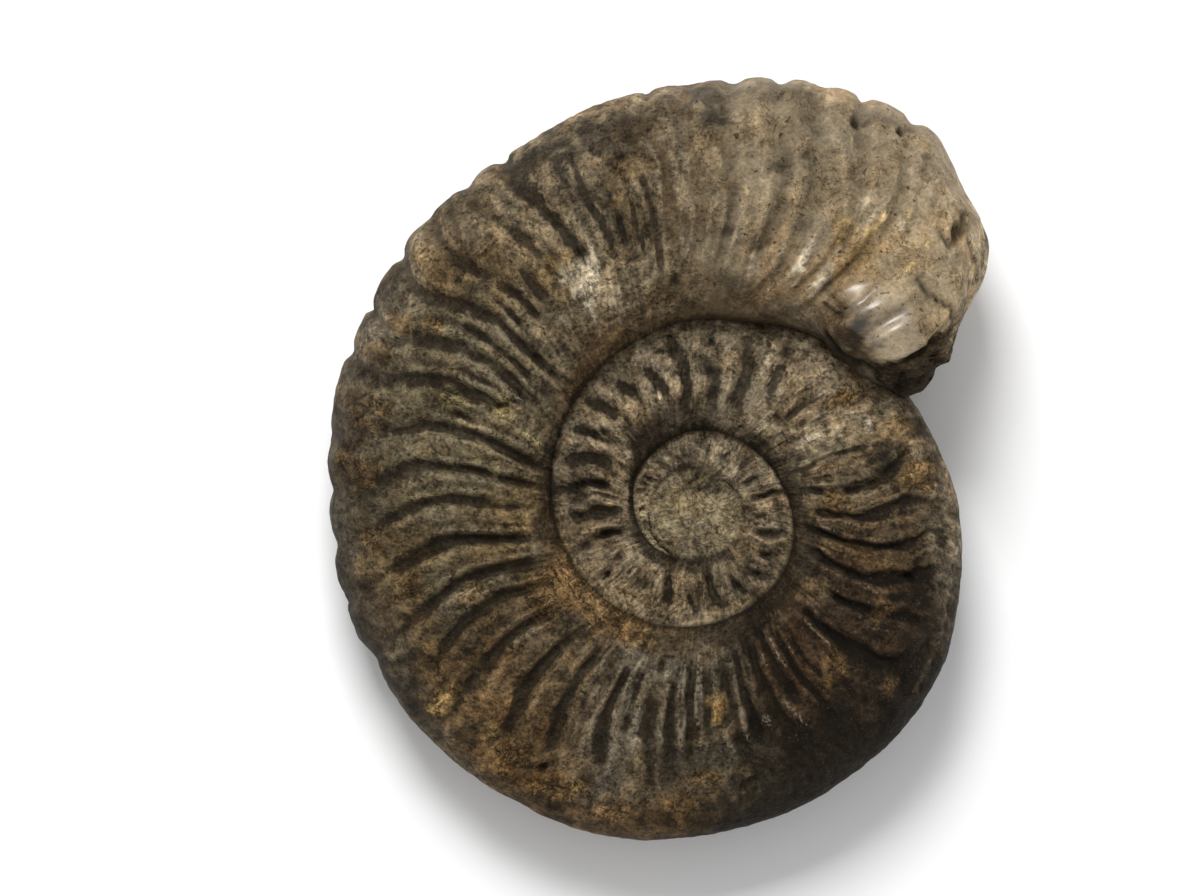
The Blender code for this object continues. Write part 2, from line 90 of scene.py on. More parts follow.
# ---------------------------------------------------------------- furrows between the ribs
# Each is (depth in mm, half width in degrees, path), and a path is out, turn, out, turn and so
# on: out is the share of the way from the inner seam to the edge seen, the keel or the next seam.
FURROWS = (
    # the living chamber, low and wide
    (0.7, 1.1, (0.12, 45.5, 0.22, 45, 0.34, 44.2, 0.48, 42.6)),
    (1, 1, (0.12, 54, 0.25, 51.8, 0.4, 50.2, 0.55, 50)),
    (1.2, 1, (0.12, 60.5, 0.3, 57.6, 0.5, 56, 0.7, 57.2, 0.9, 60, 1, 60.8)),
    (1.3, 1.1, (0.12, 65.6, 0.3, 62.2, 0.45, 61.4, 0.62, 63, 0.8, 66, 1, 67.6)),
    (1.3, 1.2, (0.12, 72.5, 0.3, 69.6, 0.5, 69, 0.7, 70.6, 0.9, 73.2, 1, 73.2)),
    (1.3, 1.1, (0.2, 76.4, 0.4, 74.6, 0.55, 74.8, 0.7, 77, 0.9, 79, 1, 78.8)),
    (1.3, 1.1, (0.2, 84.5, 0.4, 83, 0.55, 83.2, 0.7, 85, 0.9, 86, 1, 84.8)),
    (1.2, 1, (0.25, 90.2, 0.42, 89, 0.6, 89.6, 0.75, 91.2, 0.9, 91.6, 1, 90)),
    (1.2, 0.9, (0.3, 94.2, 0.5, 94.2, 0.7, 95.6, 0.85, 97, 1, 96.4)),
    (1.1, 0.7, (0.22, 97.7, 0.45, 98.2, 0.65, 99)),
    (0.9, 0.7, (0.3, 101.2, 0.42, 101.6, 0.62, 102.4)),
    (1, 0.9, (0.36, 104.4, 0.5, 104.4, 0.62, 105.4)),
    (1, 0.9, (0.38, 107.6, 0.52, 107.8, 0.64, 109, 0.82, 109.4)),
    (0.5, 0.6, (0.34, 110.4, 0.6, 110.8, 0.8, 112.2)),
    (1.5, 1.5, (0.4, 114, 0.55, 115.2, 0.7, 116.7, 0.9, 118.8, 1, 118.4)),
    # the ribbed flank
    (0.8, 1.1, (0.52, 120.6, 0.65, 122.6, 0.8, 124.8, 0.9, 126, 1, 125.2)),
    (0.9, 1.3, (0.34, 125, 0.5, 125.8, 0.62, 127.2)),
    (1.7, 1.4, (0.3, 129, 0.5, 129.7, 0.65, 131.6, 0.82, 134, 1, 132.2)),
    (0.9, 0.9, (0.36, 133, 0.52, 133.6)),
    (1.8, 1.5, (0.08, 136.2, 0.3, 136.3, 0.5, 136.7, 0.65, 138.8, 0.82, 141.4, 1, 139.4)),
    (1, 1, (0.18, 141, 0.4, 140.6, 0.58, 141.6)),
    (1.8, 1.5, (0.15, 145.6, 0.38, 144.4, 0.52, 145.2, 0.66, 147.2, 0.85, 149.8, 1, 148)),
    (0.9, 0.9, (0.28, 148.6, 0.5, 149)),
    (1.7, 1.5, (0.24, 151.6, 0.4, 151.9, 0.54, 152.9, 0.68, 155, 0.85, 157.6, 1, 155.4)),
    (1, 1, (0.22, 157.6, 0.46, 158.2)),
    (1.9, 1.6, (0.06, 164, 0.2, 162, 0.4, 161.3, 0.55, 162.4, 0.7, 165, 0.88, 168, 1, 168.6)),
    (2, 1.7, (0.06, 171.8, 0.2, 170.8, 0.4, 169.8, 0.55, 170.6, 0.7, 173, 0.88, 176.4, 1, 177)),
    (2, 1.8, (0.1, 179.6, 0.25, 178.2, 0.42, 177.3, 0.56, 178.4, 0.7, 181, 0.9, 184.6, 1, 185.4)),
    (2, 1.8, (0.12, 189, 0.25, 188, 0.42, 187, 0.56, 188.2, 0.7, 190.4, 0.88, 193.2, 1, 194)),
    (2.1, 2.1, (0.1, 198.6, 0.25, 197.2, 0.4, 196.4, 0.55, 198, 0.7, 200.5, 0.9, 203.4, 1, 204.4)),
    (1.6, 1.6, (0.14, 205.8, 0.4, 204.2, 0.55, 205.8, 0.7, 208.8, 0.85, 211)),
    (1.8, 1.7, (0.18, 215.2, 0.35, 214.4, 0.5, 215.3, 0.65, 217, 0.84, 219.2)),
    (1.9, 1.8, (0.2, 225.6, 0.35, 225, 0.5, 226, 0.65, 228, 0.84, 230.2)),
    (1.9, 1.7, (0.22, 235.6, 0.4, 235.2, 0.55, 236.8, 0.7, 238.8, 0.84, 240.4)),
    (1.6, 1.6, (0.2, 246.6, 0.4, 246.3, 0.55, 247.2, 0.68, 248.4)),
    (0.8, 1.5, (0.2, 252, 0.35, 252.1, 0.52, 252.6)),
    (1.5, 1.8, (0.14, 257.6, 0.4, 257.2, 0.58, 258.6, 0.72, 260)),
    (1.3, 1.5, (0.24, 263, 0.42, 263, 0.55, 263.8, 0.66, 264.8)),
    (1.6, 1.5, (0.18, 268.8, 0.5, 268.9, 0.68, 270)),
    (1.1, 1.2, (0.16, 274.4, 0.3, 274, 0.5, 273.8)),
    (1.4, 1.6, (0.2, 280.2, 0.46, 280, 0.62, 281)),
    (1.4, 1.5, (0.14, 285.4, 0.42, 285.4, 0.6, 286.6)),
    (1.4, 2.1, (0.1, 291.4, 0.3, 291.4, 0.5, 292.2, 0.66, 294)),
    (1.2, 1.6, (0.14, 297.4, 0.35, 297.2, 0.55, 298.6)),
    (0.9, 1.5, (0.16, 303.2, 0.35, 302.2, 0.6, 303.6, 0.8, 303.4)),
    (0.7, 1.1, (0.2, 307.4, 0.4, 306.8, 0.6, 309)),
    (0.7, 1.4, (0.5, 310, 0.7, 312, 0.86, 312.6, 0.95, 308)),
    (1.9, 2.2, (0.14, 317.9, 0.35, 317.8, 0.5, 318.4, 0.65, 320, 0.82, 322.4, 0.95, 316)),
    (1.6, 1.8, (0.26, 328.4, 0.45, 329.2, 0.6, 331.2, 0.75, 333.6, 0.86, 333, 0.96, 326)),
    (1.9, 2, (0.06, 340.8, 0.25, 338.8, 0.4, 338.2, 0.55, 340.4, 0.7, 342.8, 0.85, 345, 0.96, 338)),
    (1.8, 1.7, (0.06, 351.2, 0.25, 349, 0.4, 348.2, 0.55, 349.2, 0.7, 351.2, 0.86, 355, 0.96, 349)),
    (1.8, 1.7, (0.08, 359.8, 0.25, 358.3, 0.4, 357.8, 0.55, 359.6, 0.7, 362.6, 0.9, 362)),
    (1.7, 1.8, (0.12, 369.2, 0.3, 368, 0.5, 368.2, 0.62, 370.8, 0.82, 373.6, 0.95, 372)),
    (0.7, 1.4, (0.12, 380.4, 0.4, 381.8, 0.55, 381)),
    # the second whorl
    (0.9, 1.7, (0.3, 403.6, 0.42, 404.6, 0.5, 403.6)),
    (0.6, 2, (0.36, 416.2, 0.5, 417.4, 0.62, 418.6)),
    (1.1, 2.9, (0.18, 428, 0.4, 429, 0.6, 430.2, 0.8, 433)),
    (1, 2.2, (0.22, 440.6, 0.45, 442, 0.62, 443.2, 0.88, 444.8)),
    (1.4, 2.2, (0.2, 455.4, 0.45, 454, 0.6, 454.6, 0.8, 456.6, 0.95, 459)),
    (1, 1.9, (0.32, 462.8, 0.5, 465.4, 0.65, 468, 0.82, 470.4)),
    (1.6, 1.9, (0.44, 475.2, 0.6, 478, 0.75, 480, 0.92, 482.2)),
    (1.3, 2.2, (0.36, 487.8, 0.55, 489.4, 0.7, 491.4, 0.88, 494)),
    (1.4, 2.3, (0.34, 499.6, 0.55, 501, 0.7, 504, 0.88, 507.4)),
    (1.6, 2.9, (0.26, 511.4, 0.5, 513, 0.65, 515.6, 0.88, 519)),
    (1.2, 1.9, (0.28, 525.2, 0.46, 524.6, 0.6, 527, 0.75, 529.4, 0.86, 530.6)),
    (1.7, 3.2, (0.16, 541.6, 0.4, 541, 0.6, 543, 0.84, 544.8)),
    (1.5, 2.2, (0.16, 556.2, 0.45, 555.6, 0.65, 556.6, 0.84, 559.2)),
    (0.8, 1.7, (0.26, 561.2, 0.5, 561.2)),
    (1.7, 1.9, (0.32, 570.8, 0.5, 573, 0.7, 576, 0.92, 578.6)),
    (0.6, 2.3, (0.3, 587, 0.5, 590)),
    (0.8, 2.3, (0.28, 610, 0.5, 612, 0.7, 614.4)),
    (0.7, 2.2, (0.5, 626, 0.7, 629.4, 0.86, 633)),
    (1.6, 2.9, (0.16, 641.4, 0.4, 642, 0.6, 643.2, 0.75, 646, 0.9, 650.4)),
    (1.4, 2, (0.36, 657.8, 0.6, 658.6, 0.75, 661.2, 0.9, 666.4)),
    (1.5, 2.2, (0.42, 669.6, 0.6, 673, 0.75, 676, 0.94, 679.8)),
    (1.4, 2.6, (0.44, 685.8, 0.6, 688.2, 0.76, 690.8)),
    (1.4, 2.5, (0.1, 700.8, 0.4, 701.5, 0.6, 703, 0.84, 706)),
    (0.7, 2, (0.16, 713.8, 0.38, 715.2)),
    (0.7, 1.7, (0.74, 716.4, 0.9, 716.2)),
    (1.6, 2, (0.16, 731, 0.45, 731.5, 0.65, 732.6, 0.9, 731.4)),
    (1.1, 2.2, (0.16, 747, 0.48, 748.2)),
    # the third whorl
    (0.8, 2.3, (0.36, 761.8, 0.74, 762.6)),
    (0.9, 2.3, (0.26, 779.4, 0.64, 778)),
    (0.7, 2.6, (0.2, 797.2, 0.5, 797)),
    (0.7, 2.6, (0.1, 808, 0.44, 808.2)),
    (1, 2.6, (0.14, 825, 0.48, 832, 0.74, 839)),
    (1, 2.6, (0.14, 841.4, 0.5, 846, 0.84, 852.4)),
    (1.3, 2.6, (0.08, 862.6, 0.4, 866, 0.74, 866.2)),
    (1.2, 2.6, (0.26, 871.6, 0.74, 873.2)),
    (1.2, 2.6, (0.26, 876.6, 0.6, 880, 0.88, 882.6)),
    (1.2, 3.2, (0.04, 897, 0.3, 898, 0.64, 900.4)),
    (0.8, 3.5, (0.04, 916, 0.5, 918)),
)
# How far a furrow fades out past its ends, as a share of out.
FURROW_END = 0.07
# On the last, second and third whorl: factors of depth and width, and how much further out the
# furrows run than their paths.
FURROW_DEPTH = (0.98, 1.38, 0.75)
FURROW_SPREAD = (1.0, 1.3, 1.1)
FURROW_LONGER = (0.0, 0.08, 0.0)
# A furrow's section, in half widths: a narrow and a wide trough, each as (share of the depth,
# reach), how far off the fine crest of the rim and the rib's worn middle lie, and how wide they
# are. They are full beside a furrow of the full depth, and the crest has this height, in mm.
NARROW_TROUGH = (0.66, 1 / 1.15)
WIDE_TROUGH = (0.34, 2.5)
RIM_AT = 1.5
RIB_MIDDLE = 2.6
RIM_WIDTH = 0.46
RIM_HEIGHT = 0.20
FULL_DEPTH = 1.6
# The smooth swelling by the mouth: its turn and out, its half sizes along and across the coil,
# its rise, and the ripples on it: the direction across them, one trough, step and height, in mm.
BULB_TURN = 45.5
BULB_OUT = 0.19
BULB_SIZE = (11.0, 8.5)
BULB_RISE = 2.8
RIPPLE_ACROSS = np.array([-0.354, 0.935])
RIPPLE_FROM = 19.9
RIPPLE_STEP = 5.6
RIPPLE_HEIGHT = 0.32
# What is left of the furrows' depth near the keel and how strong the fine crests are, by turn.
KEEL_SHARE = ((28, 1), (86, 0.9), (98, 0.6), (116, 1), (160, 0.52), (205, 0.5), (225, 0.4), (300, 0.35),
              (340, 0.5), (388, 0.4))
CREST_SHARE = ((28, 0.5), (90, 0.6), (140, 0.9), (180, 0.9), (245, 1), (264, 1.5), (286, 1.4), (300, 1.1),
               (318, 0.8), (345, 0.7), (388, 0.9), (964, 1))
# How far the ribs lie back from the middle of the flank, by out; the fine lines follow them.
LEAN_BACK = ((0, 3), (0.2, 1), (0.38, 0), (0.55, 1.2), (0.7, 3.6), (0.86, 6.6), (1, 4.6))

# The living chamber, smoother than the ribbed whorls, ends between these turns.
CHAMBER_END = (80.0, 104.0)
# The fine lines along the ribs are strongest about this turn, for this many degrees.
LINED_TURN = 101.0
LINED_SPAN = 11.0
# The wall is covered with warts from the second to the third of these turns.
WARTY_WALL = (198.0, 206.0, 246.0, 256.0)

# ---------------------------------------------------------------- clouds that roughen the stone
# Each is (cell in mm, seed) or (cell in mm, seed, octaves). A furrow, pit or stain adds its place
# in its list to the seed of its kind, so that no two are alike.
BRIDGES = (3.2, 77)
WAVES = (9.0, 7, 2)
LUMPS = (2.6, 17, 3)
STRANDS = (1.0, 27, 2)
PATCHES = (5.0, 37, 3)
GRIT = (0.9, 47, 2)
DRIFTS = (14.0, 57, 3)
SHADES = (5.0, 67, 4)
WARTS = (1.7, 87, 2)
RIPPLE_BENDS = (5.0, 97)
WANDER_SEED = 100
WIDTH_SEED = 300
PIT_SEED = 500
STAIN_SEED = 700
MOUTH_BREAKS = (3.4, 300, 4)
MOUTH_PATCHES = (4.0, 310, 2)
MOUTH_MATRIX_SEED = 320
MOUTH_LIP = (3.0, 330, 3)
MOUTH_LAYERS = (3.4, 340, 2)
HEART_GROUND = (3.0, 400, 3)
HEART_MATRIX_SEED = 420
HEART_BENDS = (2.5, 440)

# ---------------------------------------------------------------- tones of the stone
TAN = (0.212, 0.163, 0.100)
STRAW = (0.305, 0.246, 0.165)
BUFF = (0.175, 0.138, 0.088)
GOLD = (0.480, 0.340, 0.150)
SAND = (0.128, 0.098, 0.060)
OLIVE = (0.100, 0.080, 0.047)
BROWN = (0.092, 0.065, 0.036)
COCOA = (0.035, 0.0225, 0.0132)
RUST = (0.105, 0.062, 0.025)
GREY = (0.100, 0.082, 0.056)
ASH = (0.056, 0.045, 0.030)
SLATE = (0.040, 0.032, 0.021)
UMBER = (0.034, 0.0265, 0.0170)
# Near-black stone, also used as painted shade: down the lower right, on the second whorl's steep wall at
# its top left, and on the swelling's lower side.
JET_AND_PAINTED_SHADE = (0.0068, 0.0048, 0.0029)
OCHRE = (0.108, 0.067, 0.028)
HONEY = (0.138, 0.089, 0.041)
AMBER = (0.230, 0.151, 0.061)
CREAM = (0.405, 0.350, 0.258)
MOSS = (0.130, 0.108, 0.056)
HEART_SAND = (0.212, 0.172, 0.106)
# The tones along the coil, each as (turn, tone): of the crust on the ribs, of the shell that
# shows in the furrows, of the wall round the hollow and of the outer rim. Their dark tones from
# about turn 278 to 345, down the lower right, are partly the stone's own and partly painted shade.
RIB_TONES = ((28, TAN), (76, TAN), (84, BUFF), (96, SAND), (116, SAND), (140, OLIVE), (200, OLIVE),
             (212, BROWN), (236, BROWN), (248, GREY), (257, GREY), (266, ASH), (284, ASH), (296, COCOA),
             (340, COCOA), (356, BROWN), (375, SAND), (386, BUFF), (394, TAN), (408, TAN), (420, BUFF),
             (515, BUFF), (545, SAND), (575, BUFF), (610, TAN), (640, TAN), (660, SAND), (700, SAND),
             (720, BUFF), (850, BUFF), (920, HEART_SAND), (964, HEART_SAND))
SHELL_TONES = ((28, TAN), (56, TAN), (64, BUFF), (80, BUFF), (88, SAND), (94, BROWN), (101, UMBER),
               (280, UMBER), (300, JET_AND_PAINTED_SHADE), (345, JET_AND_PAINTED_SHADE), (370, UMBER), (400, ASH), (440, ASH), (470, UMBER),
               (620, UMBER), (690, ASH), (740, GREY), (850, GREY), (920, BROWN), (964, HEART_SAND))
# The dark wall tones from turn 28 to 36, under the swelling, and from 440 to 485, on the second whorl's
# steep wall, are partly painted shade.
WALL_TONES = ((28, UMBER), (36, SLATE), (44, TAN), (54, SAND), (64, SAND), (72, BROWN), (140, BROWN),
              (155, SLATE), (190, UMBER), (204, HONEY), (245, HONEY), (258, BROWN), (275, SLATE),
              (300, JET_AND_PAINTED_SHADE), (340, UMBER), (410, UMBER), (425, GREY), (440, ASH), (460, UMBER), (485, UMBER),
              (500, BROWN), (520, SLATE), (660, SLATE), (680, SAND), (705, TAN), (735, SAND), (790, SAND),
              (830, SLATE), (870, SAND), (900, TAN), (935, SLATE), (964, SLATE))
RIM_TONES = ((28, TAN), (78, TAN), (90, SAND), (128, SAND), (150, GREY), (164, ASH), (214, ASH),
             (226, BROWN), (240, RUST), (262, RUST), (278, JET_AND_PAINTED_SHADE), (324, JET_AND_PAINTED_SHADE), (338, ASH), (350, GREY),
             (360, BUFF), (388, SAND))
# How far out the wall's tone reaches, by turn, as a share of out. Its wide reach from turn 445
# to 488 spreads the dark wall, partly as painted shade.
WALL_REACH = ((28, 0.10), (44, 0.05), (58, 0.12), (75, 0.17), (105, 0.16), (125, 0.09), (190, 0.08),
              (205, 0.12), (230, 0.16), (262, 0.11), (300, 0.13), (388, 0.10), (420, 0.16), (445, 0.28),
              (488, 0.30), (505, 0.12), (560, 0.14), (600, 0.22), (645, 0.20), (680, 0.10), (750, 0.08),
              (800, 0.16), (850, 0.08), (964, 0.10))
# Stains and crusts: (turn, out, half length along the coil and half width across it in mm,
# tone, strength, height of the crust in mm). A few are painted shade and a few painted highlight,
# as said where they stand.
STAINS = (
    (57.5, 0.42, 2.2, 6, AMBER, 0.6, 0), (63, 0.46, 2, 3.6, AMBER, 0.6, 0.1),
    # The narrow cream streaks at turns 61.5 to 77 are pale rib tops, partly painted highlight.
    (67, 0.27, 1, 4.4, CREAM, 0.8, 0.2), (61.5, 0.25, 1.1, 4.2, CREAM, 0.7, 0.2),
    (61.3, 0.58, 0.8, 1.8, STRAW, 0.8, 0.2), (54.6, 0.60, 0.9, 1.8, STRAW, 0.8, 0.2),
    (58.9, 0.55, 0.7, 1.4, CREAM, 0.6, 0.1), (71.6, 0.24, 1, 3.8, CREAM, 0.6, 0.2),
    (77, 0.25, 1, 3.6, CREAM, 0.5, 0.2), (79.5, 0.15, 5, 2.2, SLATE, 0.55, 0),
    (75, 0.38, 1.6, 4.6, SLATE, 0.45, 0), (79, 0.30, 1.6, 4, SLATE, 0.45, 0),
    (71, 0.40, 0.8, 4, SLATE, 0.4, 0), (84, 0.50, 1.6, 4, BROWN, 0.5, 0),
    (102.7, 0.88, 6, 4, UMBER, 0.9, 0), (102.3, 0.77, 2.6, 2.2, UMBER, 0.8, 0),
    (114.6, 0.91, 5, 2.2, UMBER, 0.9, 0), (118, 0.88, 2.2, 5, UMBER, 0.95, 0),
    (104.7, 0.56, 3, 5, UMBER, 0.6, 0), (110, 0.62, 2.6, 3.4, SLATE, 0.5, 0),
    # The two near-black stains at turns 474 and 488.5 are partly painted shadow on the second whorl's steep
    # wall.
    (98, 0.50, 1, 7, SLATE, 0.4, 0), (488.5, 0.20, 4.2, 3, JET_AND_PAINTED_SHADE, 0.85, 0),
    (474, 0.28, 3, 2.4, JET_AND_PAINTED_SHADE, 0.6, 0), (62.1, 0.48, 0.7, 0.6, GOLD, 0.9, 0.2),
    (61.7, 0.40, 0.6, 0.8, GOLD, 0.9, 0.2), (58.5, 0.475, 0.6, 0.9, GOLD, 0.9, 0.2),
    (57.5, 0.57, 0.5, 0.6, GOLD, 0.9, 0.2), (53.8, 0.66, 0.6, 0.5, GOLD, 0.8, 0.2),
    (48.8, 0.67, 0.5, 0.5, GOLD, 0.8, 0.2), (61.5, 0.67, 0.4, 0.4, GOLD, 0.9, 0.1),
    (66.8, 0.80, 0.4, 0.4, GOLD, 0.9, 0.1), (48.7, 0.52, 0.5, 0.7, GOLD, 0.8, 0.2),
    (60.2, 0.44, 0.5, 0.5, GOLD, 0.8, 0.2), (44, 0.24, 7, 5.6, TAN, 0.8, 0),
    # The dark stains at turns 48 and 48.6 are partly painted shade on the swelling's lower side, and the
    # slate one at 43.5 is partly painted shadow under its edge.
    (48.6, 0.13, 5.6, 4.2, BROWN, 0.95, 0), (48, 0.12, 4, 3, JET_AND_PAINTED_SHADE, 0.85, 0),
    (43.5, 0.02, 8, 1.7, SLATE, 0.9, 0), (54, 0.10, 3.4, 2, BROWN, 0.7, 0),
    (47, 0.74, 3.4, 3, STRAW, 0.6, 0), (56, 0.80, 3.4, 3.4, STRAW, 0.4, 0),
    (68, 0.72, 5, 4, STRAW, 0.3, 0), (90, 0.80, 5, 4, GREY, 0.5, 0), (88.5, 0.90, 4, 4, SLATE, 0.8, 0),
    # The near-black stains from turn 284 to 326, down the lower right, are partly painted shade.
    (74, 0.24, 5, 4, SAND, 0.6, 0), (296, 0.74, 10, 6, JET_AND_PAINTED_SHADE, 0.8, 0), (286, 0.62, 6, 4.6, JET_AND_PAINTED_SHADE, 0.7, 0),
    (284, 0.82, 9, 5, JET_AND_PAINTED_SHADE, 0.6, 0), (306, 0.84, 7, 6, JET_AND_PAINTED_SHADE, 0.8, 0), (314, 0.66, 9, 6, JET_AND_PAINTED_SHADE, 0.8, 0),
    (296, 0.94, 12, 4, JET_AND_PAINTED_SHADE, 0.8, 0), (326, 0.84, 8, 5, JET_AND_PAINTED_SHADE, 0.6, 0), (101.6, 0.68, 5, 3, OCHRE, 0.4, 0.1),
    (104, 0.575, 2, 1.4, AMBER, 0.4, 0.1), (98.5, 0.86, 4.5, 3.5, OCHRE, 0.3, 0),
    (94, 0.27, 1.8, 2, OCHRE, 0.4, 0.1), (115.8, 0.36, 3.6, 4.6, CREAM, 0.95, 0.1),
    (113, 0.24, 3, 2.4, STRAW, 0.5, 0), (120.4, 0.47, 3.4, 2.2, AMBER, 0.5, 0.1),
    (130.4, 0.28, 2.6, 3.4, TAN, 0.75, 0.3), (124, 0.24, 4, 2.8, SAND, 0.6, 0.2),
    (125.6, 0.70, 1.4, 5, TAN, 0.5, 0), (129, 0.84, 3.6, 2.6, SAND, 0.8, 0),
    (134, 0.60, 4, 2.2, OLIVE, 0.9, 0.5), (144.6, 0.70, 1.8, 2.2, OCHRE, 0.8, 0.2),
    (147.4, 0.84, 2.4, 2.4, OCHRE, 0.7, 0.1), (154.4, 0.87, 3.2, 2.8, OCHRE, 0.5, 0.1),
    (163, 0.85, 3.4, 3.4, OCHRE, 0.5, 0.2), (172.2, 0.87, 3.4, 3.2, OCHRE, 0.55, 0.4),
    (184.6, 0.82, 2.8, 2.8, OCHRE, 0.5, 0.3), (194.6, 0.68, 3, 3.4, OCHRE, 0.6, 0.3),
    (197, 0.84, 2.4, 2.4, COCOA, 0.6, 0.1), (204.6, 0.90, 1.8, 1.8, SAND, 0.7, 0.2),
    (155.4, 0.50, 2.4, 4, MOSS, 0.9, 0.7), (152, 0.26, 3.4, 2.4, MOSS, 0.8, 0.6),
    (146, 0.19, 4.4, 1.8, SAND, 0.7, 0.4), (157.4, 0.11, 2.6, 2.2, MOSS, 0.9, 0.6),
    (166.4, 0.10, 1.2, 1.8, SAND, 0.8, 0.4), (159.6, 0.30, 3.4, 1, SAND, 0.6, 0.3),
    (168.6, 0.72, 3.6, 0.9, SAND, 0.5, 0.2), (200.6, 0.46, 2, 4.2, OCHRE, 0.35, 0.2),
    (210, 0.16, 4.6, 3.6, OCHRE, 0.7, 0.4), (217.6, 0.83, 2.7, 3, AMBER, 0.8, 0.6),
    (227.4, 0.77, 1.7, 1.9, AMBER, 0.9, 0.7), (222.6, 0.92, 1.4, 1.4, SAND, 0.7, 0.3),
    (223.4, 0.19, 3.4, 3.4, SLATE, 0.85, 0.2), (233.4, 0.80, 4.2, 4.6, OCHRE, 0.75, 0.4),
    (243.4, 0.87, 5, 3.2, OCHRE, 0.75, 0.4), (247.6, 0.80, 1.6, 1.2, AMBER, 0.6, 0.4),
    (254.8, 0.87, 3.2, 2.6, OCHRE, 0.6, 0.2), (271, 0.74, 8, 3.6, BROWN, 0.7, 0),
    # The three thin pale stains at turns 327 to 350 are a painted highlight along the rim's crest, on a low
    # raised crust.
    (340, 0.925, 7, 0.6, GREY, 0.7, 0.2), (350, 0.935, 6, 0.6, BUFF, 0.6, 0.2),
    (327, 0.92, 7, 0.6, ASH, 0.7, 0.2), (168, 0.90, 7, 4, COCOA, 0.6, 0),
    (266.6, 0.85, 3.2, 3.4, OCHRE, 0.7, 0.3), (272.6, 0.72, 3.6, 1.4, OCHRE, 0.6, 0.2),
    (276.5, 0.385, 1.7, 2.6, AMBER, 1, 1.5), (279, 0.51, 3.4, 1.3, BROWN, 0.9, 0.9),
    (271, 0.54, 4.4, 1, SAND, 0.7, 0.5), (256, 0.60, 3.6, 2.2, SAND, 0.35, 0.3),
    (262.4, 0.66, 3, 4.4, SLATE, 0.9, 0), (274.4, 0.635, 4.6, 1.9, SLATE, 0.9, 0.1),
    # The near-black stain at turn 287 and the cocoa ones at 314 are partly painted shade down the lower
    # right.
    (287, 0.52, 3.4, 3.2, JET_AND_PAINTED_SHADE, 0.8, 0), (276, 0.16, 3.4, 2.2, SAND, 0.5, 0.3),
    (312.6, 0.50, 3.4, 3.2, OCHRE, 0.55, 0.3), (314.6, 0.66, 2.2, 3.4, COCOA, 0.8, 0.1),
    (317.6, 0.80, 1.6, 1.6, OCHRE, 0.6, 0.2), (314, 0.15, 5, 1.6, COCOA, 0.9, 0.3),
    (324.6, 0.20, 3.4, 2.6, BROWN, 0.9, 0.4), (332.8, 0.57, 2.8, 2.2, OCHRE, 0.6, 0.2),
    (344.6, 0.42, 2, 8, OCHRE, 0.45, 0), (362.6, 0.25, 2.6, 2.8, OCHRE, 0.8, 0.3),
    (368.6, 0.81, 2.8, 4, OCHRE, 0.85, 0.4), (377.4, 0.32, 1.6, 3.2, OCHRE, 0.7, 0.3),
    (373.6, 0.31, 2, 4.6, SAND, 0.7, 0.2), (375, 0.64, 3.4, 2.4, UMBER, 0.8, 0.3),
    (386.4, 0.66, 1.3, 1.3, CREAM, 0.7, 0.3), (384, 0.28, 2, 2.6, SAND, 0.6, 0.3),
    (399, 0.63, 3.4, 3.4, STRAW, 0.5, 0.3), (396.6, 0.72, 2.2, 2.6, OCHRE, 0.95, 0.5),
    (391.6, 0.76, 1.6, 2, BROWN, 0.8, 0.3), (399.4, 0.26, 1.4, 1, CREAM, 0.5, 0.3),
    (393, 0.33, 1, 1, CREAM, 0.6, 0.3), (405.6, 0.58, 1.3, 1, TAN, 0.8, 0.5),
    (423.8, 0.62, 1, 1.4, STRAW, 0.6, 0.4), (413.4, 0.24, 1, 1, STRAW, 0.5, 0.3),
    (421, 0.80, 1.6, 1.4, UMBER, 0.7, 0.2), (440.4, 0.64, 1.3, 1.4, TAN, 0.4, 0.3),
    (496.6, 0.42, 1.6, 3.6, TAN, 0.5, 0.4), (486, 0.44, 2.2, 2, TAN, 0.45, 0.2),
    (504.8, 0.14, 1.6, 1.6, TAN, 0.7, 0.4), (507.4, 0.66, 0.9, 2.6, STRAW, 0.4, 0.2),
    (603, 0.62, 2.4, 2.6, TAN, 0.5, 0.3), (586, 0.54, 1.6, 1.6, TAN, 0.45, 0.3),
    (594, 0.40, 2.4, 1.8, BROWN, 0.8, 0.3), (651.6, 0.44, 1, 3.6, TAN, 0.6, 0.3),
    (632, 0.58, 3, 2.6, SLATE, 0.6, 0), (612, 0.86, 3.4, 1.6, SAND, 0.8, 0.3),
    (654, 0.86, 2.6, 1.2, TAN, 0.5, 0.2), (696, 0.10, 2, 1.2, TAN, 0.5, 0.2),
    (722.6, 0.26, 1.6, 2.6, TAN, 0.6, 0.3), (723, 0.78, 1.8, 1.4, BROWN, 0.7, 0),
    (824, 0.68, 1.4, 1.4, TAN, 0.5, 0.2),
)
# The mouth's broken face: its light upper tone, partly painted light, and the darker one by the
# old whorl, dark matrix and partly painted shade in the recess under the swelling.
MOUTH_TONES = ((0.385, 0.305, 0.200), (0.058, 0.043, 0.027))
# Tones that the stone's material lays over the painted ones: of blotches, pale grain and painted
# highlight on the crests, glints, warm clouds, veins, the grooves and tops of warts, and pores.
BLOTCH_DARK = (0.56, 0.52, 0.46, 1.0)
BLOTCH_LIGHT = (1.34, 1.32, 1.28, 1.0)
PALE_GRAIN_AND_HIGHLIGHT = (0.270, 0.225, 0.155, 1.0)
GLINT = (0.75, 0.62, 0.44, 1.0)
WARM_CLOUD = (1.0, 0.88, 0.70, 1.0)
VEIN = (0.30, 0.25, 0.20, 1.0)
WART_GROOVE = (0.22, 0.19, 0.17, 1.0)
WART_TOP = (1.25, 1.22, 1.16, 1.0)
PORE = (0.16, 0.13, 0.10, 1.0)
SHINE_TINT = (1.0, 0.85, 0.66, 1.0)
# What a tone is multiplied by where the slow drifts are warm.
DRIFT_TINT = (1.14, 0.96, 0.74)
# No painted tone is darker than this.
DARKEST = 0.003
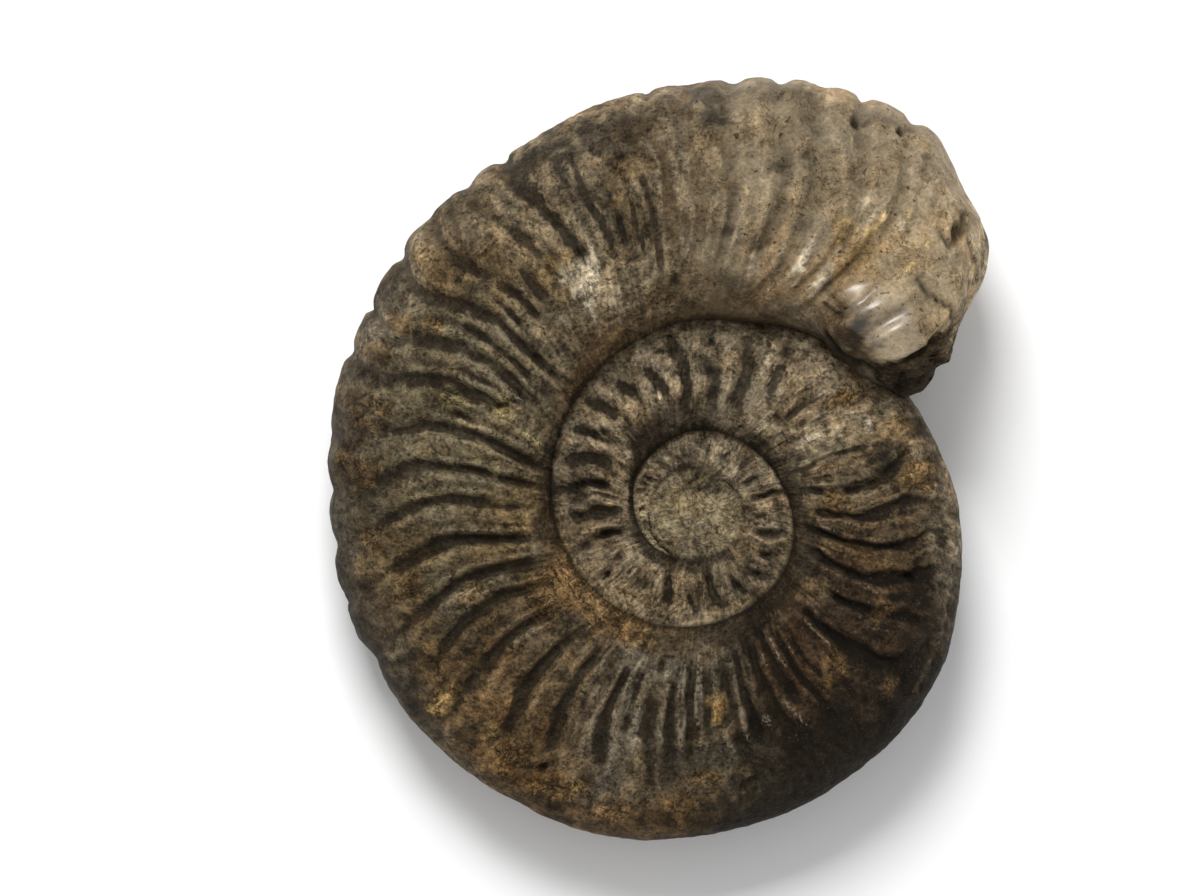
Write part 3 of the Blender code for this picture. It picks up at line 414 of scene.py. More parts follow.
# Pits: (turn, out, half size in mm, depth in mm).
PITS = (
    (46.8, 0.84, 1.7, 0.8), (61.6, 0.925, 0.8, 0.7), (67.6, 0.885, 1.1, 0.6), (66.2, 0.89, 0.6, 0.4),
    (63.8, 0.375, 0.8, 0.6), (76.4, 0.625, 1.4, 0.4), (77.8, 0.61, 0.9, 0.4), (75, 0.64, 0.8, 0.4),
    (72.6, 0.70, 1, 0.4), (66.4, 0.575, 0.7, 0.3), (74.8, 0.555, 0.9, 0.3), (74.6, 0.475, 0.6, 0.3),
    (60.4, 0.52, 0.9, 0.3), (60.8, 0.67, 0.7, 0.4), (57, 0.88, 0.9, 0.3), (76.8, 0.30, 1.3, 0.4),
    (75, 0.31, 0.8, 0.4), (78, 0.22, 0.7, 0.3), (83, 0.35, 0.6, 0.4), (95.2, 0.17, 1, 0.5),
    (90.4, 0.15, 0.9, 0.4), (97, 0.10, 0.9, 0.4), (104.6, 0.50, 0.8, 0.5), (104.8, 0.625, 0.5, 0.6),
    (102, 0.745, 1.2, 0.4), (97, 0.84, 0.7, 0.5), (90.6, 0.85, 0.8, 0.4), (86, 0.86, 0.7, 0.4),
    (114.2, 0.445, 0.5, 0.6), (121.4, 0.30, 0.5, 0.5), (104, 0.10, 1.1, 0.3), (55, 0.78, 0.5, 0.3),
    (52.6, 0.62, 0.6, 0.3), (84, 0.62, 0.6, 0.3), (79.6, 0.70, 0.6, 0.3), (139.6, 0.78, 0.7, 0.4),
    (133.6, 0.78, 1, 0.2), (164, 0.86, 0.6, 0.4), (172, 0.86, 0.8, 0.3), (282, 0.78, 1, 0.4),
    (280, 0.80, 0.8, 0.4), (239.4, 0.81, 1, 0.5), (260, 0.82, 0.8, 0.3), (375.6, 0.78, 1.4, 0.4),
    (379, 0.72, 0.9, 0.4), (385.6, 0.44, 0.9, 0.4), (420.6, 0.78, 1, 0.4), (346, 0.72, 1, 0.3),
    (342.6, 0.71, 1, 0.6), (417.6, 0.77, 0.8, 0.3), (594.6, 0.50, 1.4, 0.5),
)
# Cracks and sharp small ledges: (depth in mm, half width in mm, path of turn, out, turn, out).
CRACKS = (
    (0.7, 0.45, (54, 0.05, 50, 0.035, 46, 0.03, 43, 0.04, 41.4, 0.07)),
    (0.5, 0.55, (46.4, 0.755, 46.2, 0.80, 46.6, 0.87, 47.8, 0.905)),
    (0.5, 0.35, (46.2, 0.76, 48, 0.745, 49.6, 0.742)),
    (0.7, 0.40, (38, 0.62, 39.4, 0.57, 42, 0.527, 44, 0.515, 46.2, 0.522)),
    (0.5, 0.30, (95, 0.29, 99, 0.30, 103, 0.315, 107, 0.333, 110.5, 0.342)),
    (0.3, 0.30, (83.6, 0.352, 87.6, 0.366)),
    (0.4, 0.30, (58.6, 0.39, 60.6, 0.375, 62.6, 0.37)),
    (0.5, 0.35, (52.4, 0.155, 55, 0.14, 58, 0.145)),
    (0.4, 0.30, (53.6, 0.19, 57, 0.185, 60, 0.20)),
    (0.5, 0.35, (146.6, 0.21, 149, 0.235, 152, 0.285, 153.6, 0.32)),
    (0.5, 0.35, (396, 0.52, 397.4, 0.42, 400, 0.35, 404, 0.315, 409, 0.30)),
    (0.4, 0.30, (400.4, 0.90, 402.6, 0.84, 405, 0.87, 407, 0.86)),
    (0.4, 0.30, (448, 0.46, 447.4, 0.55, 448.4, 0.64)),
    (0.5, 0.30, (437, 0.47, 440, 0.455, 443, 0.50, 443.4, 0.56)),
    (0.4, 0.30, (590.6, 0.62, 593, 0.60, 596, 0.57, 600, 0.55)),
    (0.4, 0.30, (706, 0.79, 711, 0.73, 717, 0.71, 723, 0.72, 728, 0.77)),
)

# ---------------------------------------------------------------- how fine the skin is
# The rows are the upper side's, and the under side has a share of them.
COLUMNS_PER_TURN = 720
ROWS_ON_FLANK = 52
ROWS_ROUND_EDGE = 10
ROWS_INSIDE = 20
ROWS_INTO_HEART = 9
STEPS_DOWN_MOUTH = 28
UNDER_SHARE = 0.3
# How far from a seam the relief fades in, as across, how close points are that become one, in
# mm, the least that anything is divided by, and the cells along a side of a cloud's lattice.
SEAM_REACH = 0.05
WELD_STEP = 0.0005
SMALLEST = 1e-6
LATTICE = 64
# The columns of a finish: two tones of three channels each, and then a value for each name.
TONES = slice(0, 6)
FINISH_VALUES = ("cover", "grain", "gloss", "pale", "warty")

# ---------------------------------------------------------------- the view and the light
# The frame in pixels, how many mm one shows, and the one that the coil's axis lies in.
PIXEL = 0.18
FRAME_WIDTH = 1195
FRAME_HEIGHT = 896
COIL_PIXEL = (694.0, 510.0)
CAMERA_DISTANCE = 1200.0
SENSOR_WIDTH = 36.0
# In metres: the floor's half size and how far it lies under the shell, and the one light.
FLOOR_HALF = 1.5
FLOOR_DROP = 0.0003
FLOOR_TONE = (0.9, 0.9, 0.9, 1.0)
KEY_PLACE = (-0.14, 0.50, 0.68)
KEY_SIZE = 0.32
KEY_POWER = 6.9
SKY_TONE = (1.0, 1.0, 1.0, 1.0)
SKY_STRENGTH = 0.60


def smooth(knots, x):
    """Cubic curve through the knots, each knot's slope taken from its two neighbours."""
    places, values = np.array(knots, dtype=float).T
    slopes = np.gradient(values, places)
    x = np.clip(x, places[0], places[-1])
    left = np.clip(np.searchsorted(places, x, side="right") - 1, 0, len(places) - 2)
    span = places[left + 1] - places[left]
    s = (x - places[left]) / span
    return ((1 + 2 * s) * (1 - s) ** 2 * values[left] + s * (1 - s) ** 2 * span * slopes[left]
            + s * s * (3 - 2 * s) * values[left + 1] + s * s * (s - 1) * span * slopes[left + 1])


def ramp(low, high, x):
    """Smooth step from 0 at low to 1 at high."""
    s = np.clip((x - low) / (high - low), 0.0, 1.0)
    return s * s * (3 - 2 * s)


def bell(x):
    """1 in the middle and falling to nothing at about 1.7: exp(-|x| ^ 2.3), a round bell."""
    return np.exp(-np.abs(x) ** 2.3)


def cloud(points, cell, seed):
    """Smooth random values from -1 to 1: a lattice of random numbers, one each cell of this
    size, blended along the three axes with a smooth step."""
    lattice = np.random.default_rng(seed).uniform(-1, 1, (LATTICE, LATTICE, LATTICE))
    grid = points / cell + LATTICE * 50.0
    base = np.floor(grid).astype(int)
    s = grid - base
    s = s * s * (3 - 2 * s)
    total = np.zeros(len(points))
    for corner in itertools.product((0, 1), repeat=3):
        weight = np.prod(np.where(np.array(corner), s, 1 - s), axis=-1)
        i, j, k = ((base + corner) % LATTICE).T
        total += weight * lattice[i, j, k]
    return total


def rough(points, cell, seed, octaves=3):
    """Clouds of halving cell and halving height, added up."""
    return sum(cloud(points, cell / 2 ** n, seed + n) / 2 ** n for n in range(octaves))


# ---------------------------------------------------------------- the full surface
def keel_radius(turn):
    """How far the keel line is from the axis, in mm."""
    return smooth(KEEL_RADIUS, turn)


def seam_radius(turn):
    """How far the inner seam is from the axis, in mm."""
    return smooth(SEAM_RADIUS, turn)


def crest_radius(turn):
    """How far the section's highest line is from the axis: a fixed share of the way from the
    seam to the keel."""
    return seam_radius(turn) + CREST_PLACE * (keel_radius(turn) - seam_radius(turn))


def half_breadth(turn):
    """Half the whorl's breadth along the axis, in mm."""
    return smooth(HALF_BREADTH, turn)


def edge_angle(turn, radius):
    """Where a radius beyond the crest lies on the outer quarter of the section, in radians."""
    crest = crest_radius(turn)
    share = np.clip((radius - crest) / np.maximum(keel_radius(turn) - crest, SMALLEST), 0.0, 1.0)
    return np.arcsin(share ** (EDGE_POWER / 2))


def seam_height(turn):
    """Height of the inner seam, which lies on the outer quarter of the whorl inside it, or on
    the rim of the heart."""
    inner = turn + FULL_TURN
    on_whorl = half_breadth(inner) * np.cos(edge_angle(inner, seam_radius(turn))) ** (2 / EDGE_POWER)
    return np.where(inner < HEART_TURN, on_whorl, smooth(HEART_RIM, turn))


def covered_from(turn):
    """The value of across at which the next whorl outside covers this one."""
    turn = np.maximum(turn, SECOND_TURN)
    outer = turn - FULL_TURN
    return CREST_AT + (1 - CREST_AT) * edge_angle(turn, seam_radius(outer)) / (math.pi / 2)


def quarter_angles(across):
    """The angles on the inner and the outer quarter of the section, in radians."""
    inner = np.clip(1 - across / CREST_AT, 0, 1) * math.pi / 2
    outer = np.clip((across - CREST_AT) / (1 - CREST_AT), 0, 1) * math.pi / 2
    return inner, outer


def place_across(across):
    """Share of the way out from the seam to the keel line, for a value of across."""
    inner, outer = quarter_angles(across)
    return (CREST_PLACE * (1 - np.sin(inner) ** (2 / WALL_POWER))
            + (1 - CREST_PLACE) * np.sin(outer) ** (2 / EDGE_POWER))


def bare_whorl(turn, across):
    """The section's two quarter superellipses, swept round the coil: points in mm, and the
    directions that relief lifts them in."""
    inner, outer = quarter_angles(across)
    seam, crest, keel = seam_radius(turn), crest_radius(turn), keel_radius(turn)
    breadth, low = half_breadth(turn), seam_height(turn)
    on_wall = across < CREST_AT
    radius = np.where(on_wall, crest - (crest - seam) * np.sin(inner) ** (2 / WALL_POWER),
                      crest + (keel - crest) * np.sin(outer) ** (2 / EDGE_POWER))
    height = np.where(on_wall, low + (breadth - low) * np.cos(inner) ** (2 / WALL_POWER),
                      breadth * np.cos(outer) ** (2 / EDGE_POWER))
    angle = np.radians(turn)
    out = np.sin(outer) - np.sin(inner)
    up = np.where(on_wall, np.cos(inner), np.cos(outer))
    points = np.stack([radius * np.cos(angle), radius * np.sin(angle), height], axis=-1)
    lifts = np.stack([out * np.cos(angle), out * np.sin(angle), up], axis=-1)
    return points, lifts


def seam_fade(turn, across):
    """0 on a seam and 1 away from it, so that both whorls meet on the same line."""
    inner = ramp(0.0, SEAM_REACH, across)
    outer = ramp(0.0, SEAM_REACH, np.abs(covered_from(turn) - across))
    covered = ramp(SECOND_TURN - 8.0, SECOND_TURN, turn)
    run_out = ramp(0.0, 12.0, HEART_TURN - turn)
    return inner * run_out * (1 - covered * (1 - outer))


# ---------------------------------------------------------------- relief
class Places:
    """Points of one whorl surface: their turn and across, the bare points in mm, out, how many
    mm a degree of turn and the whole of out are, the side, 0 above and 1 below, the way round
    both sides in one, and how far off the keel line they are, from 0 to 1."""

    def __init__(self, turn, across, points, side):
        self.turn = turn
        self.across = across
        self.points = points * np.array([1.0, 1.0, -1.0 if side else 1.0])
        self.side = side
        radius = np.hypot(points[:, 0], points[:, 1])
        inner = seam_radius(turn)
        next_seam = seam_radius(np.maximum(turn - FULL_TURN, MOUTH_TURN))
        covered = ramp(SECOND_TURN - 12.0, SECOND_TURN + 12.0, turn)
        edge = keel_radius(turn) * (1 - covered) + next_seam * covered
        self.width = np.maximum(edge - inner, SMALLEST)
        self.out = np.clip((radius - inner) / self.width, 0.0, 1.0)
        self.degree = np.radians(1.0) * radius
        self.way = 2 - self.out if side else self.out
        self.off_keel = ramp(1.0, 0.95, across)


def ridge(off, middle, along, deep):
    """1 on the two lines this many half widths off a furrow and 0 away from them, as a normal
    curve, and lower beside a furrow that isn't of the full depth."""
    return np.exp(-((np.abs(off) - middle) / RIM_WIDTH) ** 2) * along * min(deep, FULL_DEPTH) / FULL_DEPTH


def furrow_masks(at):
    """Depth of the furrows in mm, and from 0 to 1 how far a point is down a furrow and how
    near it is to the fine crest along a furrow's rim and to the worn middle of a rib.

    A furrow's section is a narrow normal curve on a wide low one, so that the ribs are crowned.
    Its middle line runs smoothly through the path's points and wanders by up to a third of a
    degree, and its width varies by a third and grows on the chamber's outer flank. Crust bridges
    it in places, it is shallower by the keel, and it fades out past both its ends. Where two
    furrows overlap, the deeper one counts.
    """
    depth, down, crest, dip = (np.zeros_like(at.turn) for _ in range(4))
    keel_share = 1 - ramp(0.6, 0.95, at.out) * (1 - smooth(KEEL_SHARE, at.turn))
    bridged = 1 - 0.55 * ramp(0.25, 0.75, cloud(at.points, *BRIDGES))
    soften = (1 - ramp(84.0, 104.0, at.turn)) * ramp(0.25, 0.5, at.out) * ramp(1.0, 0.85, at.out)
    for index, (deep, width, path) in enumerate(FURROWS):
        knots = np.reshape(path, (-1, 2))
        outs, turns = knots.T.copy()
        whorl_number = int((turns[0] - MOUTH_TURN) // FULL_TURN)
        outs[-1] += FURROW_LONGER[whorl_number]
        width *= FURROW_SPREAD[whorl_number]
        deep *= FURROW_DEPTH[whorl_number]
        near = (at.turn > turns.min() - 4 * width) & (at.turn < turns.max() + 4 * width)
        near &= (at.out > outs[0] - 2 * FURROW_END) & (at.out < outs[-1] + 2 * FURROW_END)
        if not near.any():
            continue
        out = at.out[near]
        line = np.stack([at.way[near] * 9.0, 0 * out, 0 * out], axis=-1)
        wander = 0.35 * cloud(line, 1.0, WANDER_SEED + index)
        reach = width * (1 + 0.35 * cloud(line, 1.2, WIDTH_SEED + index)) * (1 + 0.4 * soften[near])
        off = (at.turn[near] - smooth(knots, out) - wander) / reach
        last = ramp(outs[-1] + FURROW_END, outs[-1] - FURROW_END, out) if outs[-1] < 1 else 1.0
        first = ramp(outs[0] - FURROW_END, outs[0] + FURROW_END, out)
        along = first * last * keel_share[near] * bridged[near]
        trough = sum(share * np.exp(-(off / half) ** 2) for share, half in (NARROW_TROUGH, WIDE_TROUGH))
        rim = ridge(off, RIM_AT, along, deep) * smooth(CREST_SHARE, at.turn[near])
        rim *= 1 - 0.8 * ramp(0.5, 0.75, out)
        depth[near] = np.maximum(depth[near], deep * trough * along)
        down[near] = np.maximum(down[near], min(1.0, deep) * np.exp(-off ** 2) * along)
        crest[near] = np.maximum(crest[near], rim)
        dip[near] = np.maximum(dip[near], ridge(off, RIB_MIDDLE, along, deep))
    return depth, down, crest, dip


def spot(at, turn, out, along, across, seed, ragged=0.35):
    """1 inside an oval about a place and 0 outside, with a ragged edge: a smooth step of the
    distance, in half sizes, with a cloud added to it."""
    near = np.abs(at.turn - turn) * at.degree < 2.2 * along
    near &= np.abs(at.out - out) * at.width < 2.2 * across
    weight = np.zeros_like(at.turn)
    if near.any():
        far = np.hypot((at.turn[near] - turn) * at.degree[near] / along,
                       (at.out[near] - out) * at.width[near] / across)
        far += ragged * rough(at.points[near], 0.5 * min(along, across) + 0.5, seed, 3)
        weight[near] = 1 - ramp(0.62, 1.15, far)
    return weight


def crack_mask(at, path, half_width):
    """1 on a line of straight pieces through (turn, out) places and 0 beyond its half width."""
    nearest = np.full_like(at.turn, 1e9)
    turns, outs = path.T
    near = (at.turn > turns.min() - 3) & (at.turn < turns.max() + 3)
    near &= (at.out > outs.min() - 0.1) & (at.out < outs.max() + 0.1)
    if not near.any():
        return np.zeros_like(at.turn)
    scale = np.stack([at.degree[near], at.width[near]], axis=-1)
    place = np.stack([at.turn[near], at.out[near]], axis=-1)
    best = nearest[near]
    for start, end in zip(path[:-1], path[1:]):
        step = (end - start) * scale
        away = (place - start) * scale
        share = np.clip((away * step).sum(-1) / np.maximum((step * step).sum(-1), SMALLEST), 0, 1)
        best = np.minimum(best, np.linalg.norm(away - share[:, None] * step, axis=-1))
    nearest[near] = best
    return bell(nearest / (1.4 * half_width))


def swelling(at):
    """Height in mm of the smooth swelling by the mouth, and 1 where its shell is polished.

    It is a dome on an oval, the 0.8th power of one less the distance squared, with low ripples
    across it as a cosine of the way over them, which a cloud bends.
    """
    from_middle = np.hypot((at.turn - BULB_TURN) * at.degree / BULB_SIZE[0],
                           (at.out - BULB_OUT) * at.width / BULB_SIZE[1])
    swell = BULB_RISE * (1 - np.minimum(from_middle, 1.0) ** 2) ** 0.8
    over = at.points[:, :2] @ RIPPLE_ACROSS - RIPPLE_FROM + 0.5 * cloud(at.points, *RIPPLE_BENDS)
    swell -= RIPPLE_HEIGHT * np.cos(2 * math.pi * over / RIPPLE_STEP) * ramp(0.95, 0.5, from_middle)
    return swell, ramp(1.0, 0.7, from_middle) * ramp(0.10, 0.19, at.out)


def relief(at):
    """Height in mm of all that stands over or under the bare whorl, the masks that it leaves,
    and how far each stain covers it.

    The height is the swelling less the furrows, plus their rims, slow waves, the crust's
    thickness and the fine grain, which is lumps, grit and lines along the ribs, all from clouds.
    Then the pits and cracks are cut in, and the stains' crusts and the warts are raised. Crust
    covers the shell in patches, less in a furrow or in the chamber, and more on a crest or in a
    raised stain.
    """
    depth, down, crest, dip = furrow_masks(at)
    size = np.clip(half_breadth(at.turn) / HALF_BREADTH[0][1], 0.3, 1.0)
    chamber = 1 - ramp(*CHAMBER_END, at.turn)
    waves = 0.40 * rough(at.points, *WAVES) * np.sqrt(size)
    lumps = rough(at.points, *LUMPS)
    leant = at.turn - smooth(LEAN_BACK, at.out)
    strand = np.stack([leant * 1.2, at.way * 5.0, 0 * leant], axis=-1)
    lines = rough(strand, *STRANDS)
    lined = 0.11 + 0.26 * bell((at.turn - LINED_TURN) / LINED_SPAN) * ramp(0.2, 0.35, at.out)
    patchy = rough(at.points, *PATCHES)
    grit = rough(at.points, *GRIT)
    wall = 1 - ramp(0.8, 1.2, at.out / smooth(WALL_REACH, at.turn) + 0.25 * patchy)
    cover = 0.84 + 0.55 * patchy + 0.35 * lumps - 1.25 * ramp(0.2, 0.95, down) - 0.5 * chamber
    cover = np.clip(cover + 0.5 * crest, 0, 1)
    swell, polished = swelling(at)
    fine = (0.13 + 0.13 * cover) * lumps + (0.03 + 0.13 * cover * (1 - chamber)) * grit
    fine += lined * lines
    fine *= 1 - 0.85 * polished
    smoothed = 1 - 0.7 * ramp(0.82, 0.97, at.across)
    lift = swell - depth + RIM_HEIGHT * crest + waves + 0.10 * cover + fine * smoothed
    pit = np.zeros_like(lift)
    for index, (turn, out, half, deep) in enumerate(PITS):
        hole = spot(at, turn, out, half, half, PIT_SEED + index, 0.2) * at.off_keel
        lift -= deep * hole
        pit = np.maximum(pit, hole * min(1.0, 1.6 * deep))
    for deep, half_width, path in CRACKS:
        line = crack_mask(at, np.reshape(path, (-1, 2)), half_width)
        lift -= deep * line
        pit = np.maximum(pit, line * min(1.0, 1.8 * deep))
    stains = []
    starts, full, thins, ends = WARTY_WALL
    warty = 0.8 * wall * ramp(starts, full, at.turn) * ramp(ends, thins, at.turn)
    for index, (turn, out, along, across, tone, strength, high) in enumerate(STAINS):
        weight = spot(at, turn, out, along, across, STAIN_SEED + index, 0.6)
        lift += high * weight * (1 + 0.5 * lumps) * at.off_keel
        stains.append((weight * strength, tone))
        cover = np.maximum(cover, weight * (high > 0.05))
        if tone in (OCHRE, AMBER, MOSS) and high < 1.0:
            warty = np.maximum(warty, weight * (high > 0.15))
    lift += 0.22 * warty * rough(at.points, *WARTS)
    sunk = np.clip(depth / (1.5 * np.sqrt(size)), 0, 1)
    masks = SimpleNamespace(down=down, sunk=sunk, crest=crest, dip=dip, cover=cover, pit=pit, patchy=patchy,
                            lumps=lumps, lines=lines, grit=grit, chamber=chamber, wall=wall,
                            warty=warty, polished=polished)
    return lift * seam_fade(at.turn, at.across), masks, stains


# ---------------------------------------------------------------- colours
def along_coil(tones, turn):
    """The tone along the coil, blended between the turns where tones are given."""
    turns = [knot[0] for knot in tones]
    return np.stack([np.interp(turn, turns, [knot[1][channel] for knot in tones])
                     for channel in range(3)], axis=-1)


def blend(base, tone, weight):
    """The base moved to the tone by the weight, a straight mix held between the two."""
    weight = np.clip(weight, 0, 1)[:, None]
    return base * (1 - weight) + np.asarray(tone) * weight


def paint(at, masks, stains):
    """The tones of the bare shell and of the crust on it at each point, and how pale it is.

    The tone goes along the coil. The outer rim and the wall have their own, warm drifts tint it
    and the stains lie on it, and its near-black tones down the lower right are partly painted shade.
    It is lighter on crests, partly as painted highlight, darker the deeper a furrow is, as painted
    shade, and darker on the worn middles of ribs, uneven by clouds and by the lines along the ribs,
    and dark in pits, as painted shade, and at the seams, partly as painted shade in the crease.
    Crests and the strongest of the lines are pale in patches, the crests partly as painted highlight.
    """
    last = 1 - ramp(SECOND_TURN - 8.0, SECOND_TURN + 8.0, at.turn)
    rim = ramp(0.76, 0.92, at.out + 0.08 * masks.patchy) * last
    drift = ramp(0.0, 0.7, rough(at.points, *DRIFTS))
    lightness = 1 + (0.42 + 0.30 * rim) * (1 - 0.35 * masks.chamber) * rough(at.points, *SHADES)
    lightness *= 1 + 0.40 * masks.lines * (1 - masks.chamber)
    # A dark line along the seams, partly a dark crack and partly painted shade in the crease.
    seam = 1 - np.minimum(ramp(0.0, 1.0, at.out * at.width),
                          ramp(0.0, 0.8, (1 - at.out) * at.width + 2.0 * last))
    seam *= 1 - 0.5 * ramp(HEART_TURN - FULL_TURN, HEART_TURN - FULL_TURN + 30.0, at.turn)
    # Lighter on the crests, partly paler grain and partly painted highlight; darker the deeper a furrow is,
    # as painted shade in it; darker on the worn middles of ribs.
    ribs = 1.38 + 0.75 * masks.crest - 0.32 * masks.dip - 0.55 * masks.sunk
    # How pale a place is: the crests, partly as painted highlight, and the strongest lines along the ribs.
    pale = masks.crest + 0.5 * ramp(0.35, 0.9, masks.lines) * (1 - masks.down)
    pale *= ramp(-0.6, 0.4, masks.lumps + masks.patchy) * (1 - 0.8 * rim) * (1 - masks.wall)
    pale = np.clip(pale * (0.5 + 0.5 * (1 - masks.chamber)), 0, 1)
    tones = []
    for base, bare in ((SHELL_TONES, 1.0), (RIB_TONES, 0.0)):
        tone = along_coil(base, at.turn)
        tone = blend(tone, along_coil(RIM_TONES, at.turn), (0.9 - 0.35 * bare) * rim)
        tone = blend(tone, along_coil(WALL_TONES, at.turn), 0.95 * masks.wall)
        tone = blend(tone, tone * np.array(DRIFT_TINT), drift * (0.15 + 0.55 * last))
        for weight, stain in stains:
            tone = blend(tone, stain, weight)
        tone = tone * (lightness * ribs)[:, None]
        tone = tone * (1 + 0.28 * masks.grit * (1 - bare))[:, None]
        # Painted shade: pits and cracks darkened to an eighth of their tone.
        tone = blend(tone, 0.12 * tone, masks.pit)
        # The seams darkened: partly a dark crack and partly painted shade in the crease.
        tones.append(np.clip(blend(tone, 0.25 * tone, 0.9 * seam), DARKEST, 1.0))
    return *tones, pale


# ---------------------------------------------------------------- the skin
class Skin:
    """Grids of points with their faces, tones and masks, welded into one mesh at the end."""

    def __init__(self):
        self.parts = []
        self.faces = []
        self.count = 0

    def add(self, columns, rows, surface, side, coilwise=True, first=0):
        """A grid of columns by rows faces whose points and finish are surface(column, row, side).
        It is coilwise if its columns go along the coil and its rows outwards, and its faces are
        turned so that they look outwards."""
        column, row = np.meshgrid(first + np.arange(columns + 1.0), np.arange(rows + 1.0),
                                  indexing="ij")
        points, finish = surface(column.ravel(), row.ravel(), side)
        if side:
            points = points * np.array([1.0, 1.0, -1.0])
        index = np.arange((columns + 1) * (rows + 1)).reshape(columns + 1, rows + 1)
        quads = np.stack([index[:-1, :-1], index[1:, :-1], index[1:, 1:], index[:-1, 1:]], axis=-1)
        quads = quads.reshape(-1, 4)
        inwards = (side == 0) == coilwise
        self.faces.append((quads[:, ::-1] if inwards else quads) + self.count)
        self.parts.append(np.concatenate([points, finish], axis=-1))
        self.count += len(points)


def rows_for(side, rows):
    """How many rows a grid has on this side: all of them above, and a share of them below."""
    return rows if side == 0 else max(2, round(rows * UNDER_SHARE))


def column_at(turn):
    """The column of the inner whorls' grid that lies at this turn."""
    return round((turn - SECOND_TURN) * COLUMNS_PER_TURN / FULL_TURN)


def last_whorl(column, row, side):
    """The last whorl, from its inner seam over the flank to the keel line. Near the mouth its
    columns bend along with the mouth's edge."""
    flank_rows = rows_for(side, ROWS_ON_FLANK)
    edge_rows = rows_for(side, ROWS_ROUND_EDGE)
    turn = MOUTH_TURN + column * FULL_TURN / COLUMNS_PER_TURN
    shoulder = covered_from(MOUTH_TURN)
    beyond = (row - flank_rows) / edge_rows
    across = np.where(row <= flank_rows, shoulder * row / flank_rows,
                      shoulder + (1 - shoulder) * beyond)
    back = smooth(MOUTH_EDGE, place_across(across)) * (1 - ramp(MOUTH_TURN, MOUTH_EDGE_END, turn))
    return whorl(turn + back, across, side)


def inner_whorls(column, row, side):
    """The whorls inside the last one, each from its inner seam to the seam that covers it."""
    turn = MOUTH_TURN + FULL_TURN * (1 + column / COLUMNS_PER_TURN)
    across = covered_from(turn) * row / rows_for(side, ROWS_INSIDE)
    return whorl(turn, across, side)


def inner_start(column, row, side):
    """The first strip of the inner whorls, which changes over from the last whorl's rows."""
    rows = np.round(row * rows_for(side, ROWS_INSIDE) / rows_for(side, ROWS_ON_FLANK))
    start = last_whorl(np.full_like(row, COLUMNS_PER_TURN), row, side)
    after = inner_whorls(np.ones_like(row), rows, side)
    return tuple(np.where((column == 0)[:, None], a, b) for a, b in zip(start, after))


def whorl(turn, across, side):
    """The bare whorl with its relief, and its finish: the tones of shell and crust, the crust's
    cover, the grain, the gloss, how pale it is and how warty. The grain is weaker in the chamber
    and on polished shell, where the gloss is highest, and a pit has no gloss."""
    points, lifts = bare_whorl(turn, across)
    at = Places(turn, across, points, side)
    lift, masks, stains = relief(at)
    shell, crust, pale = paint(at, masks, stains)
    grain = 1.0 - 0.55 * masks.chamber - 0.25 * masks.polished
    gloss = 0.45 + 0.15 * masks.chamber + 0.25 * masks.crest + 0.5 * masks.polished
    gloss = np.clip(gloss - masks.pit, 0, 1)
    finish = np.column_stack([shell, crust, masks.cover, grain, gloss, pale, masks.warty])
    return points + lifts * lift[:, None], finish


def matrix_finish(points, base, seed):
    """The finish of rough matrix: a tone mottled by two clouds and dark where they differ most,
    all crust and grain, with hardly any gloss and half as warty as it can be."""
    patches = rough(points, 6.0, seed, 3)
    fine = rough(points, 1.2, seed + 5, 2)
    tone = np.asarray(base) * (1 + 0.30 * patches + 0.22 * fine)[:, None]
    tone = np.clip(blend(tone, 0.35 * tone, ramp(0.5, 1.0, fine - patches)), DARKEST, 1)
    flat = np.ones(len(points))
    return np.column_stack([0.7 * tone, tone, flat, 0.9 * flat, 0.1 * flat, 0 * flat, 0.5 * flat])


def mouth_face(column, row, side):
    """The broken face of the mouth: lines from the whorl's edge down to what lies below it, the
    old whorl or the middle plane, each a quarter of a superellipse that swells outwards.

    Over that lie lumps and thin layers with undercuts, both from clouds. They are strongest by
    the old whorl and fade out at the face's edges.
    """
    flank_rows = rows_for(side, ROWS_ON_FLANK)
    edge_rows = rows_for(side, ROWS_ROUND_EDGE)
    all_rows = flank_rows + edge_rows
    top, lip_finish = last_whorl(np.zeros_like(row), row, side)
    old_column = np.full_like(row, COLUMNS_PER_TURN)
    foot = last_whorl(old_column, np.minimum(row + flank_rows, all_rows), side)[0]
    keel = last_whorl(np.zeros(1), np.full(1, float(all_rows)), side)[0]
    along = np.clip((row - edge_rows) / flank_rows, 0, 1)[:, None]
    foot = foot + along * (keel - foot)
    down = column / STEPS_DOWN_MOUTH
    across = row / all_rows
    swell = MOUTH_FACE_BULGE * (np.sin(math.pi * across) * np.sin(math.pi * down))[:, None]
    swell += smooth(MOUTH_OUTLINE, along) * down[:, None]
    angle = math.radians(MOUTH_TURN)
    outward = np.array([math.cos(angle), -math.sin(angle), 0.0])
    round_down = down * math.pi / 2
    sideways = np.sin(round_down) ** (2 / MOUTH_POWER)
    share = np.column_stack([sideways, sideways, 1 - np.cos(round_down) ** (2 / MOUTH_POWER)])
    points = top + share * (foot - top) + swell * outward
    lower = 1 - ramp(0.35, 0.55, across)
    broken = (0.5 + 1.3 * lower) * rough(points, *MOUTH_BREAKS) * np.sin(math.pi * down)
    layer = 1 - np.abs(rough(points * np.array([0.6, 0.6, 2.0]), *MOUTH_LAYERS))
    undercut = bell((down - 0.15) / 0.07) + 0.9 * ramp(0.80, 0.98, layer)
    broken = (broken - 0.9 * lower * undercut * ramp(0.0, 0.1, down)) * ramp(1.0, 0.8, down)
    broken = broken * np.sin(math.pi * across)
    points = points + broken[:, None] * (outward + np.array([0.0, 0.0, 0.7]))
    shadow = lower * np.clip(undercut, 0, 1)
    return points, mouth_finish(points, down, across, shadow, lip_finish)


